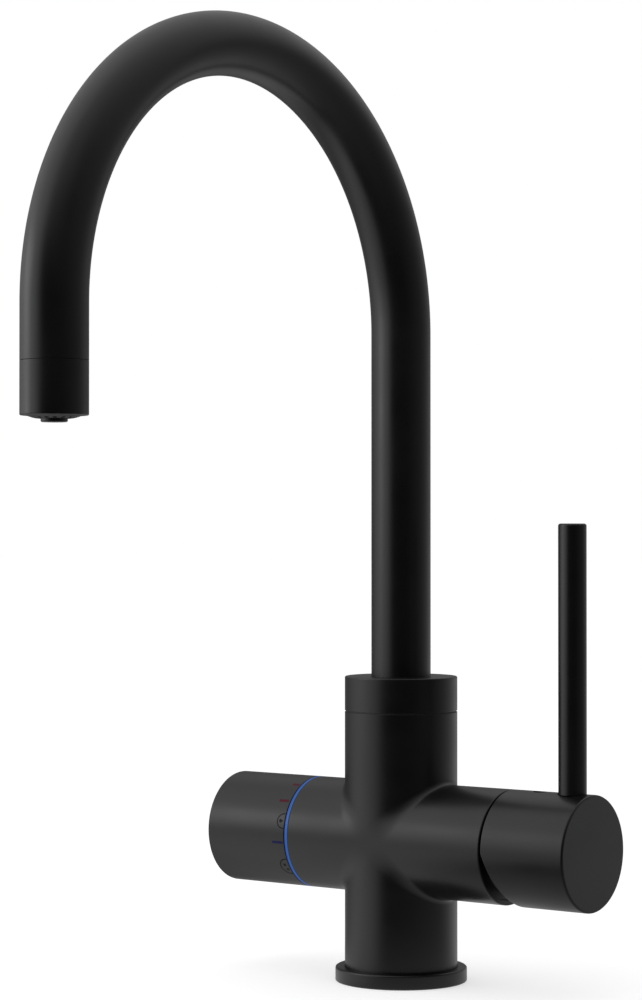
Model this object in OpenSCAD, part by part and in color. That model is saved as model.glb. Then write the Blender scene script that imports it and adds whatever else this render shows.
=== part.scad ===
// Swan-neck kitchen tap for mixed and filtered water, in millimetres.
// Origin: centre of the base ring's underside, on the axis of the column.
// +Z is up, the spout reaches towards -Y, the mixer handle is on +X and the selector knob on -X.

/* [Body] */
// Outside diameter of the column, both arms, the handle and the knob
body_d = 47.4; // [46.8:0.2:56]
// Height of the axis of the arms
arm_z = 59.5; // [56:0.5:70]
// Height of the column's top face
column_top_z = 112.9; // [111:0.1:140]
// From the column's axis to the end of the right arm
right_arm = 55; // [55:0.5:70]
// From the column's axis to the end of the left arm
left_arm = 42.5; // [42:0.5:60]
// Radius of the blend where the arms leave the sides of the column
blend_r = 2.5; // [1.5:0.5:5]
// Radius of the same blend at the front and the rear, where polishing widens it
blend_front_r = 7; // [5:0.5:8]
// Broken edge at the open ends of the body
edge = 0.5; // [0.2:0.1:0.8]

/* [Base] */
// Outside diameter of the base ring
base_ring_d = 55.4; // [52:0.2:70]
// Height of the base ring
base_ring_h = 6; // [5:0.5:10]
// Thickness of the base ring's ledge under the column
base_ledge = 3; // [2.5:0.5:4]
// Radius on the base ring's upper edge
base_edge_r = 0.8; // [0.4:0.2:1.8]
// Thickness of the base seal's cord
base_seal_d = 1.6; // [1:0.2:2]
// Diameter of the inlet manifold
manifold_d = 40.8; // [40:0.2:41.4]
// Height of the manifold's top face
manifold_top_z = 24; // [22:0.5:30]
// How far the manifold's underside lies above the base
manifold_recess = 0.6; // [0.2:0.2:2]
// Circle that the ports and stud holes lie on
port_circle_d = 27; // [26:0.2:27.4]
// Tapping diameter of the two mains ports, M8 x 1
mains_port_d = 7; // [6.9:0.1:8.9]
// Tapping diameter of the two filtered-water ports, M8 x 1
filter_port_d = 7; // [6.9:0.1:8]
// Tapping diameter of the two stud holes, M8
stud_hole_d = 6.8; // [6:0.1:8]
// Depth of the threaded ports
port_depth = 12; // [8:0.5:15]
// Depth of the stud holes
stud_depth = 16; // [10:0.5:19]
// Bore of the hot and cold water ways, where the nose of a hose seals past the thread
mains_way_d = 6.6; // [6.3:0.1:6.7]
// Bore of the filtered-water ways
filter_way_d = 6.6; // [5:0.1:6.7]
// Bore of the cable way
cable_way_d = 5; // [4:0.5:6]
// Diameter of the two manifold screws
manifold_screw_d = 3; // [2.5:0.5:3.5]

/* [Swivel] */
// Diameter of the spigot's journals
spigot_d = 30; // [29.6:0.1:31]
// Wall of the two bushes
bush_wall = 1.95; // [1.8:0.05:3]
// Length of the upper bush
upper_bush_h = 4.3; // [3:0.1:4.6]
// Length of the lower bush
lower_bush_h = 5; // [3:0.5:7]
// Thickness of the washer that the collar turns on
swivel_washer_t = 0.55; // [0.4:0.05:1]
// Height of the collar
collar_h = 14.3; // [12:0.1:22]
// Thickness of the collar's top round the tube
collar_top_t = 2.8; // [2:0.2:4]
// How far the spout turns from one stop to the other
swivel_angle = 150; // [60:5:180]
// Diameter of the stop screw's tip
stop_tip_d = 3; // [2:0.2:3.2]
// Thickness of the spigot's O-rings
spigot_ring_d = 2.5; // [2:0.1:2.7]

/* [Spout] */
// Outside diameter of the spout tube
tube_d = 25; // [24:0.2:25.4]
// Wall of the spout tube
tube_wall = 1.5; // [1:0.1:1.8]
// From the column's axis to the outlet's axis
reach = 214.4; // [160:0.2:260]
// Height where the two legs meet the arch
arch_z = 271.6; // [266:0.2:340]
// Height of the outlet's rim
outlet_z = 230.6; // [160:0.2:232]
// Length of the outlet sleeve
sleeve_h = 19.7; // [18:0.1:26]
// Seams between neighbouring shells
seam = 0.3; // [0.2:0.05:0.6]
// How far the aerator stands proud of the rim at its middle
aerator_crown = 1.2; // [0.4:0.1:2]
// Diameter of the jets in the aerator
jet_d = 1.7; // [1:0.1:2]
// Outside diameter of the filtered-water nozzle
nozzle_d = 9.8; // [9.6:0.1:10.6]
// Bore of the filtered-water nozzle
nozzle_bore_d = 5.2; // [3:0.2:6]
// How far the nozzle stands below the rim
nozzle_drop = 2.4; // [1.4:0.1:5]
// Outside diameter of the filtered-water tube inside the spout
inner_tube_d = 8; // [6:0.5:8]
// Wall of the filtered-water tube
inner_tube_wall = 1; // [0.6:0.1:1.2]

/* [Mixer] */
// Diameter of the cartridge
cartridge_d = 35; // [33:0.2:35.4]
// From the column's axis to the cartridge's seat
cartridge_seat = 20; // [20:0.5:21]
// Thickness of the cartridge's base plate
cartridge_base_t = 4; // [3.5:0.1:4.2]
// Thickness of each ceramic disc
disc_t = 3.5; // [3:0.1:3.6]
// Diameter of the moving disc and its carrier
moving_disc_d = 21.6; // [20:0.2:22]
// Inside diameter of the turret's bearing in the case
turret_d = 22; // [21:0.2:22.4]
// Diameter of the pivot pin
pivot_pin_d = 3; // [2:0.2:3.4]
// From the column's axis to the pivot pin
pivot_x = 47.5; // [47:0.1:48]
// Width across the stem's flats
stem_w = 8; // [7:0.2:8.4]
// Diameter of the ball at the stem's inner end
stem_ball_d = 5.6; // [5:0.2:5.8]
// Gap between the right arm and the handle
handle_gap = 0.8; // [0.7:0.1:1.5]
// Length of the handle
handle_l = 38.8; // [36:0.2:50]
// Wall of the handle round its hollow
handle_wall = 4.4; // [3:0.2:4.6]
// Slant of the relief cut below the handle's axis
relief_angle = 19.5; // [19.5:0.5:24]
// How far the handle tips from shut to fully open
tilt_angle = 18; // [10:1:18]
// Edge radius at the handle's and the knob's end faces
end_edge_r = 0.8; // [0.4:0.1:1.5]

/* [Lever] */
// Diameter of the lever rod
lever_d = 11.5; // [8:0.5:13]
// Height of the lever rod's top
lever_top_z = 192; // [120:1:230]
// From the handle's end face to the lever's axis
lever_inset = 9.8; // [8.5:0.1:11]
// Edge radius at the lever's top
lever_edge_r = 1; // [0.5:0.1:2]
// Diameter of the stud that carries the lever
lever_stud_d = 6; // [4:0.5:6]
// From the handle's inner edge to the handle screw's axis
handle_screw_inset = 13.9; // [13.4:0.1:16]
// Diameter of the handle screw
handle_screw_d = 5; // [4:0.5:5]
// Diameter of the plug over the handle screw
handle_plug_d = 6; // [5.5:0.5:8]

/* [Selector] */
// Width of the light ring that shows
light_ring_w = 1.5; // [1:0.1:3]
// Length of the knob
knob_l = 41.7; // [38:0.1:60]
// Wall of the knob
knob_wall = 3.5; // [2.5:0.1:4.5]
// Diameter of the bore in the left arm
selector_bore_d = 39; // [36:0.5:40]
// Diameter of the selector's spindle
spindle_d = 16; // [14:0.5:18]
// Outside diameter of the selector housing's neck
neck_d = 27; // [25:0.5:28]
// Wall of the bush that the knob turns on
knob_bush_wall = 2.4; // [1.5:0.1:2.6]
// How far the knob turns from one stop to the other
knob_angle = 120; // [60:5:150]
// Thickness of the light board and the sensor board
board_t = 1.6; // [1:0.1:2]
// Number of light-emitting diodes
led_count = 12; // [6:1:18]

/* [Fits] */
// Radial clearance where one piece turns in another
run_fit = 0.05; // [0.03:0.01:0.08]
// Clearance between pieces that are assembled and stay put
fit = 0.05; // [0.03:0.01:0.08]
// Clearance between moving pieces that don't touch
free_gap = 0.3; // [0.2:0.05:0.4]

/* [Hidden] */
$fn = 96;
eps = 0.01;

// Colours
coat = [0.075, 0.075, 0.08];
brass = [0.78, 0.62, 0.32];
steel = [0.72, 0.74, 0.76];
acetal = [0.9, 0.9, 0.86];
ceramic = [0.95, 0.93, 0.88];
rubber = [0.1, 0.1, 0.1];
black_plastic = [0.12, 0.12, 0.12];
board_green = [0.1, 0.38, 0.22];
light_blue = [0.16, 0.48, 0.92];

body_r = body_d / 2;
tube_r = tube_d / 2;
tube_in_r = tube_r - tube_wall;
inner_r = inner_tube_d / 2;
spigot_r = spigot_d / 2;

// Blend: how far it reaches along each arm, and the steps that draw it
blend_reach = body_r + blend_r;
blend_steps = 44;
blend_arc_steps = 6;
blend_limit = 87.5;
blend_lap = 0.5;
blend_inset = 0.03;
blend_onset = 4;
crossing_reach = blend_reach + blend_lap;

// Base
base_ring_r = base_ring_d / 2;
manifold_r = manifold_d / 2;
port_circle_r = port_circle_d / 2;
mains_angles = [60, -60];
filter_angles = [120, -120];
stud_angles = [0, 180];
mains_way_r = mains_way_d / 2;
filter_way_r = filter_way_d / 2;
cable_way_r = cable_way_d / 2;
port_ring_d = 1.8;
port_ring_r = mains_way_r + 1.7;
manifold_screw_r = manifold_screw_d / 2;
manifold_screw_y = port_circle_r + 3;
manifold_screw_grip = 9;
manifold_head_r = 2.7;
manifold_head_h = 3;
manifold_head_z = manifold_recess + 0.4;
gland_depth = 5;
gland_lip = 2;
gland_sink = 0.2;
gland_grip = 0.3;
base_groove_r = (manifold_r + base_ring_r) / 2 + 1;

// Water ways in the body
filter_gallery_rise = 16;
filter_gallery_z = manifold_top_z + filter_gallery_rise;
swivel_floor_rise = 20.5;
swivel_floor_z = arm_z + swivel_floor_rise;
mixed_port_rise = 9;
mixed_way_r = 4;
mixed_way_x = 12.5;
mains_port_drop = 5;
mains_port_y = 8.6;
filter_gallery_r = 3;
cable_exit_drop = 10;
way_lap = 0.4;

// Swivel
swivel_bore_r = spigot_r + run_fit + bush_wall;
spigot_foot_z = swivel_floor_z + 4;
lower_bush_z = spigot_foot_z + 0.5;
land_z = lower_bush_z + lower_bush_h + 0.5;
land_r = swivel_bore_r - 0.4;
seal_groove_w = spigot_ring_d + 0.3;
seal_groove_r = swivel_bore_r - 0.1 - spigot_ring_d;
seal_rib = 1.6;
land_h = 2 * seal_groove_w + 3 * seal_rib;
stop_z = column_top_z - upper_bush_h - 2.95;
stop_thread_r = 2.5;
stop_thread_l = body_r - swivel_bore_r - 0.9;
stop_tip_r = stop_tip_d / 2;
stop_slot_r = spigot_r - 1.8;
stop_slot_h = stop_tip_d + 0.6;
stop_slot_half = swivel_angle / 2 + asin(stop_tip_r / stop_slot_r) + 1;
tube_foot_z = column_top_z - 4.9;
spigot_in_r = tube_r - 2.5;
collar_z = column_top_z + swivel_washer_t + run_fit;
collar_top_z = collar_z + collar_h;
spigot_top_z = collar_top_z - collar_top_t - fit;
collar_screw_r = 2;
collar_screw_z = collar_z + 5.5;
socket_r = 1.25;
socket_depth = 2.2;

// Filtered-water coupling
coupling_flange_r = 7.5;
coupling_flange_h = 3;
coupling_thread_r = 5;
coupling_thread_l = 14;
coupling_r = inner_r + 2.5;
coupling_h = 18;
coupling_top_z = swivel_floor_z + coupling_h;
coupling_socket_z = swivel_floor_z + 5;
coupling_seal_d = 1.2;
coupling_seal_rise = 12;
coupling_seal_z = swivel_floor_z + coupling_seal_rise;

// Outlet
sleeve_top_z = outlet_z + sleeve_h;
tube_end_z = sleeve_top_z + seam;
sleeve_in_r = tube_in_r - fit;
lip_h = 1;
lip_r = sleeve_in_r - 0.65;
aerator_r = sleeve_in_r - 0.1;
aerator_face_r = lip_r - fit;
aerator_top_z = outlet_z + 8.4;
aerator_wall = 1.2;
aerator_floor_z = outlet_z + 2;
screen_z = outlet_z + 4.5;
screen_t = 0.8;
washer_t = 2;
insert_foot_z = aerator_top_z + washer_t;
insert_lap = 12;
insert_top_z = sleeve_top_z + insert_lap;
insert_r = sleeve_in_r - fit;
insert_in_r = insert_r - 1.7;
nozzle_r = nozzle_d / 2;
nozzle_in_outlet = 16;
nozzle_top_z = outlet_z + nozzle_in_outlet;
nozzle_seat_z = outlet_z + 5.5;
jet_count = 16;
jet_circle_r = (nozzle_r + lip_r) / 2;
crown_steps = 5;

// Mixer, measured along +X from the column's axis
cartridge_r = cartridge_d / 2;
cartridge_bore_r = cartridge_r + 0.1;
fixed_disc_x = cartridge_seat + cartridge_base_t;
moving_disc_x = fixed_disc_x + disc_t;
carrier_x = moving_disc_x + disc_t;
carrier_t = 6;
case_cavity_r = cartridge_r - 3.1;
fixed_disc_r = cartridge_r - 2.3;
port_r = 3.1;
disc_r = moving_disc_d / 2;
stem_ball_r = stem_ball_d / 2;
ball_x = carrier_x + 3.2;
ball_arm = pivot_x - ball_x;
disc_travel = ball_arm * tilt_angle * PI / 180;
disc_low = disc_travel / 2;
carrier_half_w = 8;
fork_half_w = carrier_half_w + 0.15;
fork_x = carrier_x + 0.5;
turret_r = turret_d / 2;
turret_flange_x = carrier_x + carrier_t + 0.4;
turret_flange_t = 2.6;
turret_flange_r = case_cavity_r - 0.15;
turret_top_x = pivot_x + 4;
case_roof_x = turret_flange_x + turret_flange_t + 0.2;
case_shoulder_x = case_roof_x + 2.8;
case_neck_r = turret_r + 2.4;
case_top_x = pivot_x + 2.5;
nut_r = cartridge_bore_r + 1.4;
nut_l = 6;
nut_top_x = case_shoulder_x + nut_l;
nut_slots = 4;
cover_seat_x = nut_top_x;
cover_rim = 2.3;
cover_r = body_r - cover_rim;
cover_bore_r = cover_r + 0.1;
cover_flange_t = 1.4;
cover_wall = 1.3;
cover_in_r = case_neck_r + 0.3;
cover_dome_r = body_r - handle_wall - 1.1;
cover_top_x = right_arm + 5.5;
cover_hole_r = stem_w / 2 * sqrt(2) + 5.6;
cover_land = 1.9;
cover_shoulder = cover_dome_r - cover_hole_r - cover_land;
pin_r = pivot_pin_d / 2;
stem_half = stem_w / 2;
stem_root_x = pivot_x - 5.5;
stem_neck_r = 2;
slot_half_w = stem_half + 0.15;
slot_half_h = stem_half + 2.4;

// Handle and lever
handle_x = right_arm + handle_gap;
handle_end_x = handle_x + handle_l;
handle_cavity_r = body_r - handle_wall;
handle_floor_x = handle_x + 10.7;
hub_r = stem_half * sqrt(2) + 2.9;
pocket_end_x = handle_end_x - lever_inset - lever_d / 2 + 0.5;
stem_end_x = handle_floor_x + 9.5;
lever_x = handle_end_x - lever_inset;
spotface_depth = 0.55;
spotface_r = lever_d / 2 + 0.45;
lever_foot_z = body_r - spotface_depth;
lever_stud_r = lever_stud_d / 2;
stud_in_handle = 9;
stud_in_rod = 8;
handle_screw_x = handle_x + handle_screw_inset;
handle_screw_r = handle_screw_d / 2;
handle_screw_l = 8;
plug_r = handle_plug_d / 2;
plug_l = 3;
plug_z = arm_z + body_r - plug_l - 0.6;
rib_half_w = handle_screw_r + 2.5;

// Selector, measured along -X from the column's axis
selector_bore_r = selector_bore_d / 2;
selector_seat = 22;
spindle_r = spindle_d / 2;
neck_r = neck_d / 2;
light_x = left_arm + fit;
knob_x = light_x + light_ring_w + seam;
knob_cavity_r = body_r - knob_wall;
knob_end_wall = 4.5;
housing_r = selector_bore_r - fit;
light_skirt_l = 3;
skirt_wall = 1.9;
diode_h = 0.8;
diode_w = 2;
light_board_x = left_arm - light_skirt_l - diode_h - 0.2 - board_t;
housing_end_x = light_board_x;
light_ring_in_r = neck_r + 2;
ring_seal_d = light_ring_in_r - neck_r;
bush_r = neck_r + knob_bush_wall;
bush_x = light_x + light_ring_w + 0.5;
bush_l = 6;
neck_end_x = bush_x + bush_l + 0.2;
flange_r = spindle_r + 3;
flange_x = selector_seat + 3.2;
flange_t = 2.4;
stop_lug_w = 14;
stop_r = flange_r + 2.2;
flange_play = 0.15;
spindle_end_x = neck_end_x + 1.6;
clip_t = 1;
clip_x = neck_end_x + free_gap / 3;
clip_groove_r = spindle_r - 0.8;
clip_r = spindle_r + 2;
square_w = 8;
square_l = 11;
friction_d = 2;
friction_centre_r = spindle_r + run_fit / 2 - friction_d / 2;
friction_x = selector_seat + 11;
magnet_r = 3;
magnet_t = 2.5;
magnet_proud = 0.4;
board_r = 8.5;
hub_flange_x = spindle_end_x + fit;
hub_flange_t = 5;
hub_core_r = square_w / 2 * sqrt(2) + 3.2;
hub_skirt_x = knob_x + 0.6;
knob_screw_r = 2;
knob_screw_x = hub_flange_x + hub_flange_t / 2;

// Points on an arc from angle a0 to a1
function arc_points(cx, cy, r, a0, a1, n) =
    [for (i = [0:n]) let(a = a0 + (a1 - a0) * i / n) [cx + r * cos(a), cy + r * sin(a)]];

// Places children on the right arm, with their Z axis along +X and their X axis down
module on_right_arm(x = 0) {
    translate([x, 0, arm_z]) rotate([0, 90, 0]) children();
}

// Places children on the left arm, with their Z axis along -X and their X axis up
module on_left_arm(x = 0) {
    translate([-x, 0, arm_z]) rotate([0, -90, 0]) children();
}

// Places children with their Z axis along +Y, at the rear of the column
module at_rear(y, z) {
    translate([0, y, z]) rotate([-90, 0, 0]) children();
}

module ring(r_out, r_in, h) {
    difference() {
        cylinder(r = r_out, h = h);
        translate([0, 0, -eps]) cylinder(r = r_in, h = h + 2 * eps);
    }
}

module o_ring(centre_r, d) {
    rotate_extrude() translate([centre_r, 0]) circle(d = d, $fn = 48);
}

// A turned rod whose two edges are rounded
module turned_rod(r, h, foot_edge, top_edge) {
    steps = 4;
    foot = foot_edge > 0 ? arc_points(r - foot_edge, foot_edge, foot_edge, -90, 0, steps) : [[r, 0]];
    top = top_edge > 0 ? arc_points(r - top_edge, h - top_edge, top_edge, 0, 90, steps) : [[r, h]];
    rotate_extrude() polygon(concat([[0, 0]], foot, top, [[0, h]]));
}

// A grub screw along +Z with a hexagon socket in its outer end
module grub_screw(r, l, tip_r, tip_l) {
    difference() {
        union() {
            cylinder(r = tip_r, h = tip_l + eps);
            translate([0, 0, tip_l]) cylinder(r = r, h = l);
        }
        translate([0, 0, tip_l + l - socket_depth]) cylinder(r = socket_r, h = socket_depth + eps, $fn = 6);
    }
}

// Outline of one slice through the crossing, at half-width w: a plus whose inner corners are rounded
function cross_corner(w, r, l) =
    concat([[l, w]], arc_points(w + r, w + r, r, 270, 180, blend_arc_steps), [[w, l]]);
function quarter_turn(p, q) = q == 0 ? p : quarter_turn([-p[1], p[0]], q - 1);
function cross_outline(w, r, l) = [for (q = [0:3]) for (p = cross_corner(w, r, l)) quarter_turn(p, q)];
function blend_at(a) = blend_r + (blend_front_r - blend_r) * pow(abs(sin(a)), blend_onset);

// The crossing of column and arms. Each slice at y = r sin(a) has the half-width w = r cos(a), and its
// inner corners are arcs that touch both surfaces. Their radius grows as a power of sin(a) from the sides
// towards the front and the rear, where the two surfaces run into each other and polishing widens the blend.
module crossing() {
    r = body_r - blend_inset;
    l = blend_reach + 2 * blend_lap;
    n = 4 * (blend_arc_steps + 3);
    points = [
        for (i = [0:blend_steps])
            let(a = blend_limit * (2 * i / blend_steps - 1))
                for (p = cross_outline(r * cos(a), blend_at(a), l))
                    [p[0], r * sin(a), p[1]]
    ];
    sides = [
        for (i = [0:blend_steps - 1]) for (j = [0:n - 1])
            let(p = i * n + j, q = i * n + (j + 1) % n)
                each [[p, q, p + n], [q, q + n, p + n]]
    ];
    middle = len(points);
    last = blend_steps * n;
    middles = [for (s = [-1, 1]) [0, s * r * sin(blend_limit), 0]];
    ends = [
        for (j = [0:n - 1])
            each [[middle, (j + 1) % n, j], [middle + 1, last + j, last + (j + 1) % n]]
    ];
    translate([0, 0, arm_z]) polyhedron(points = concat(points, middles), faces = concat(sides, ends));
}

// Where a port or a stud hole lies on the port circle
module at_port(angle, z) {
    rotate([0, 0, angle]) translate([port_circle_r, 0, z]) children();
}

// Water and cable ways through the body's core. Each drilling runs a little past the one that it
// meets, and a cross drilling is slimmer than the way that it opens into.
module body_ways() {
    mains_port_z = arm_z - mains_port_drop;
    mixed_port_z = arm_z + mixed_port_rise;
    for (a = mains_angles) {
        at_port(a, manifold_top_z - eps)
            cylinder(r = mains_way_r, h = mains_port_z - manifold_top_z + port_r + way_lap);
        translate([port_circle_r / 2, sign(a) * mains_port_y, mains_port_z])
            rotate([0, 90, 0]) cylinder(r = port_r, h = cartridge_seat - port_circle_r / 2 + eps);
    }
    for (a = filter_angles) {
        at_port(a, manifold_top_z - eps)
            cylinder(r = filter_way_r, h = filter_gallery_z - manifold_top_z + filter_way_r);
        translate([0, 0, filter_gallery_z]) rotate([0, 90, a])
            cylinder(r = filter_way_r - way_lap, h = port_circle_r);
    }
    translate([0, 0, filter_gallery_z - filter_way_r])
        cylinder(r = filter_gallery_r, h = swivel_floor_z - filter_gallery_z);
    translate([0, 0, swivel_floor_z - coupling_thread_l])
        cylinder(r = coupling_thread_r + fit, h = coupling_thread_l + eps);
    translate([mixed_way_x, 0, mixed_port_z - port_r - way_lap])
        cylinder(r = mixed_way_r, h = swivel_floor_z - mixed_port_z + port_r + way_lap + eps);
    translate([mixed_way_x, 0, mixed_port_z]) rotate([0, 90, 0])
        cylinder(r = port_r, h = cartridge_seat - mixed_way_x + eps);
    cable_turn_z = manifold_top_z + cable_way_r + 2;
    cable_climb = arm_z - cable_exit_drop - cable_turn_z;
    translate([0, 0, manifold_top_z - eps])
        cylinder(r = cable_way_r, h = cable_turn_z - manifold_top_z + cable_way_r);
    translate([0, 0, cable_turn_z]) rotate([0, -atan2(selector_seat, cable_climb), 0])
        cylinder(r = cable_way_r - way_lap, h = norm([selector_seat, cable_climb]) + cable_way_r);
}

module body() color(coat) difference() {
    union() {
        translate([0, 0, base_ledge]) turned_rod(body_r, arm_z - crossing_reach - base_ledge, edge, 0);
        translate([0, 0, arm_z + crossing_reach])
            turned_rod(body_r, column_top_z - arm_z - crossing_reach, 0, edge);
        on_right_arm(crossing_reach) turned_rod(body_r, right_arm - crossing_reach, 0, edge);
        on_left_arm(crossing_reach) turned_rod(body_r, left_arm - crossing_reach, 0, edge);
        crossing();
    }
    translate([0, 0, base_ledge - eps])
        cylinder(r = manifold_r + fit, h = manifold_top_z - base_ledge + eps);
    translate([0, 0, swivel_floor_z]) cylinder(r = swivel_bore_r, h = column_top_z - swivel_floor_z + eps);
    on_right_arm(cartridge_seat) cylinder(r = cartridge_bore_r, h = right_arm - cartridge_seat + eps);
    on_right_arm(case_shoulder_x - 0.5) cylinder(r = nut_r, h = right_arm - case_shoulder_x + 1);
    on_right_arm(cover_seat_x) cylinder(r = cover_bore_r, h = right_arm - cover_seat_x + eps);
    on_left_arm(selector_seat) cylinder(r = selector_bore_r, h = left_arm - selector_seat + eps);
    on_left_arm(selector_seat - board_t) cylinder(r = board_r + fit, h = board_t + eps);
    at_rear(swivel_bore_r - 1, stop_z) cylinder(r = stop_thread_r, h = body_r - swivel_bore_r + 2);
    for (s = [-1, 1]) translate([0, s * manifold_screw_y, manifold_top_z - eps])
        cylinder(r = manifold_screw_r, h = manifold_screw_grip + 1);
    body_ways();
}

module base_ring() color(coat) difference() {
    rotate_extrude() polygon(concat(
        [[manifold_r + fit, 0], [base_ring_r - base_edge_r / 3, 0], [base_ring_r, base_edge_r / 3]],
        arc_points(base_ring_r - base_edge_r, base_ring_h - base_edge_r, base_edge_r, 0, 90, 5),
        [[body_r + fit, base_ring_h], [body_r + fit, base_ledge], [manifold_r + fit, base_ledge]]
    ));
    groove = base_seal_d / 2 + fit;
    translate([0, 0, -eps]) ring(base_groove_r + groove, base_groove_r - groove, base_seal_d + eps);
}

module base_seal() color(rubber) translate([0, 0, base_seal_d / 2]) o_ring(base_groove_r, base_seal_d);

module inlet_manifold() color(brass) difference() {
    translate([0, 0, manifold_recess]) turned_rod(manifold_r, manifold_top_z - manifold_recess, edge, edge);
    for (a = mains_angles) {
        at_port(a, 0) cylinder(r = mains_port_d / 2, h = manifold_recess + port_depth);
        at_port(a, 0) cylinder(r = mains_way_r, h = manifold_top_z + 1);
    }
    for (a = filter_angles) {
        at_port(a, 0) cylinder(r = filter_port_d / 2, h = manifold_recess + port_depth);
        at_port(a, 0) cylinder(r = filter_way_r, h = manifold_top_z + 1);
    }
    for (a = concat(mains_angles, filter_angles)) at_port(a, manifold_top_z - port_ring_d)
        ring(port_ring_r + port_ring_d / 2 + fit, port_ring_r - port_ring_d / 2 - fit, port_ring_d + 1);
    for (a = stud_angles) at_port(a, 0) cylinder(r = stud_hole_d / 2, h = manifold_recess + stud_depth);
    cylinder(r = cable_way_r, h = manifold_top_z + 1);
    cylinder(r = cable_way_r + gland_lip, h = manifold_recess + gland_depth);
    for (s = [-1, 1]) translate([0, s * manifold_screw_y, 0]) {
        cylinder(r = manifold_screw_r + fit, h = manifold_top_z + 1);
        cylinder(r = manifold_head_r + fit, h = manifold_head_z + manifold_head_h);
    }
}

module manifold_seals() color(rubber) for (a = concat(mains_angles, filter_angles))
    at_port(a, manifold_top_z - port_ring_d / 2) o_ring(port_ring_r, port_ring_d);

module manifold_screws() color(steel) for (s = [-1, 1])
    translate([0, s * manifold_screw_y, manifold_head_z]) difference() {
        union() {
            cylinder(r = manifold_head_r, h = manifold_head_h);
            cylinder(r = manifold_screw_r, h = manifold_top_z - manifold_head_z + manifold_screw_grip);
        }
        translate([0, 0, -eps]) cylinder(r = socket_r, h = socket_depth, $fn = 6);
    }

module cable_gland() color(rubber) translate([0, 0, manifold_recess + gland_sink])
    ring(cable_way_r + gland_lip - fit, cable_way_r - gland_grip, gland_depth - gland_sink);

module swivel_washer() color(black_plastic) translate([0, 0, column_top_z])
    ring(body_r - edge, spigot_r + 0.3, swivel_washer_t);

module upper_bush() color(acetal) translate([0, 0, column_top_z - upper_bush_h])
    ring(swivel_bore_r, spigot_r + run_fit, upper_bush_h);

module lower_bush() color(acetal) translate([0, 0, lower_bush_z])
    ring(swivel_bore_r, spigot_r + run_fit, lower_bush_h);

module stop_screw() color(steel) at_rear(stop_slot_r + 0.4, stop_z)
    grub_screw(stop_thread_r, stop_thread_l, stop_tip_r, swivel_bore_r - stop_slot_r - 0.1);

module filter_coupling() color(brass) difference() {
    union() {
        translate([0, 0, swivel_floor_z - coupling_thread_l + 1])
            cylinder(r = coupling_thread_r, h = coupling_thread_l);
        translate([0, 0, swivel_floor_z]) cylinder(r = coupling_flange_r, h = coupling_flange_h, $fn = 6);
        translate([0, 0, swivel_floor_z]) cylinder(r = coupling_r, h = coupling_top_z - swivel_floor_z);
    }
    translate([0, 0, swivel_floor_z - coupling_thread_l])
        cylinder(r = min(inner_r - inner_tube_wall, filter_gallery_r), h = coupling_top_z);
    translate([0, 0, coupling_socket_z]) cylinder(r = inner_r + run_fit, h = coupling_top_z);
    translate([0, 0, coupling_seal_z - coupling_seal_d / 2 - 0.1])
        cylinder(r = inner_r + run_fit + coupling_seal_d + 0.05, h = coupling_seal_d + 0.2);
}

module coupling_seal() color(rubber) translate([0, 0, coupling_seal_z])
    o_ring(inner_r + run_fit + coupling_seal_d / 2, coupling_seal_d);

module spout_collar() color(coat) difference() {
    translate([0, 0, collar_z]) turned_rod(body_r, collar_h, edge, edge);
    translate([0, 0, collar_z - eps]) cylinder(r = spigot_r + fit, h = collar_h - collar_top_t + eps);
    translate([0, 0, collar_z]) cylinder(r = tube_r + fit, h = collar_h + 1);
    at_rear(spigot_r - 1, collar_screw_z) cylinder(r = collar_screw_r, h = body_r);
}

module collar_screw() color(steel) at_rear(spigot_r + fit, collar_screw_z)
    grub_screw(collar_screw_r, body_r - spigot_r - 2.4, collar_screw_r - 0.7, 1);

// The turned brass spigot that carries the spout in the column
module spout_spigot() color(brass) difference() {
    union() {
        translate([0, 0, spigot_foot_z]) turned_rod(spigot_r, spigot_top_z - spigot_foot_z, edge, 0);
        translate([0, 0, land_z]) cylinder(r = land_r, h = land_h);
    }
    for (i = [0, 1]) translate([0, 0, land_z + seal_rib + i * (seal_groove_w + seal_rib)])
        ring(swivel_bore_r + 1, seal_groove_r, seal_groove_w);
    translate([0, 0, spigot_foot_z - eps]) cylinder(r = spigot_in_r, h = spigot_top_z);
    translate([0, 0, tube_foot_z]) cylinder(r = tube_r + fit, h = spigot_top_z);
    translate([0, 0, stop_z - stop_slot_h / 2]) rotate([0, 0, 90 - stop_slot_half])
        rotate_extrude(angle = 2 * stop_slot_half) translate([stop_slot_r, 0]) square([3, stop_slot_h]);
}

module spigot_seals() color(rubber) for (i = [0, 1])
    translate([0, 0, land_z + seal_rib + seal_groove_w / 2 + i * (seal_groove_w + seal_rib)])
        o_ring(seal_groove_r + spigot_ring_d / 2, spigot_ring_d);

// The spout's centre line as a solid of radius r: riser, half-round arch and outlet leg
module swan_neck(r, foot_z, end_z) {
    translate([0, 0, foot_z]) cylinder(r = r, h = arch_z - foot_z);
    translate([0, -reach / 2, arch_z]) rotate([90, 0, 90])
        rotate_extrude(angle = 180) translate([reach / 2, 0]) circle(r = r);
    translate([0, -reach, end_z]) cylinder(r = r, h = arch_z - end_z);
}

module spout_tube() color(coat) difference() {
    swan_neck(tube_r, tube_foot_z, tube_end_z);
    swan_neck(tube_in_r, tube_foot_z - 1, tube_end_z - 1);
}

module filter_tube() color(steel) difference() {
    swan_neck(inner_r, coupling_socket_z + 0.5, nozzle_seat_z + 0.5);
    swan_neck(inner_r - inner_tube_wall, coupling_socket_z - 1, nozzle_seat_z - 1);
}

module at_outlet(z) {
    translate([0, -reach, z]) children();
}

module outlet_insert() color(black_plastic) at_outlet(insert_foot_z)
    ring(insert_r, insert_in_r, insert_top_z - insert_foot_z);

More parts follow.
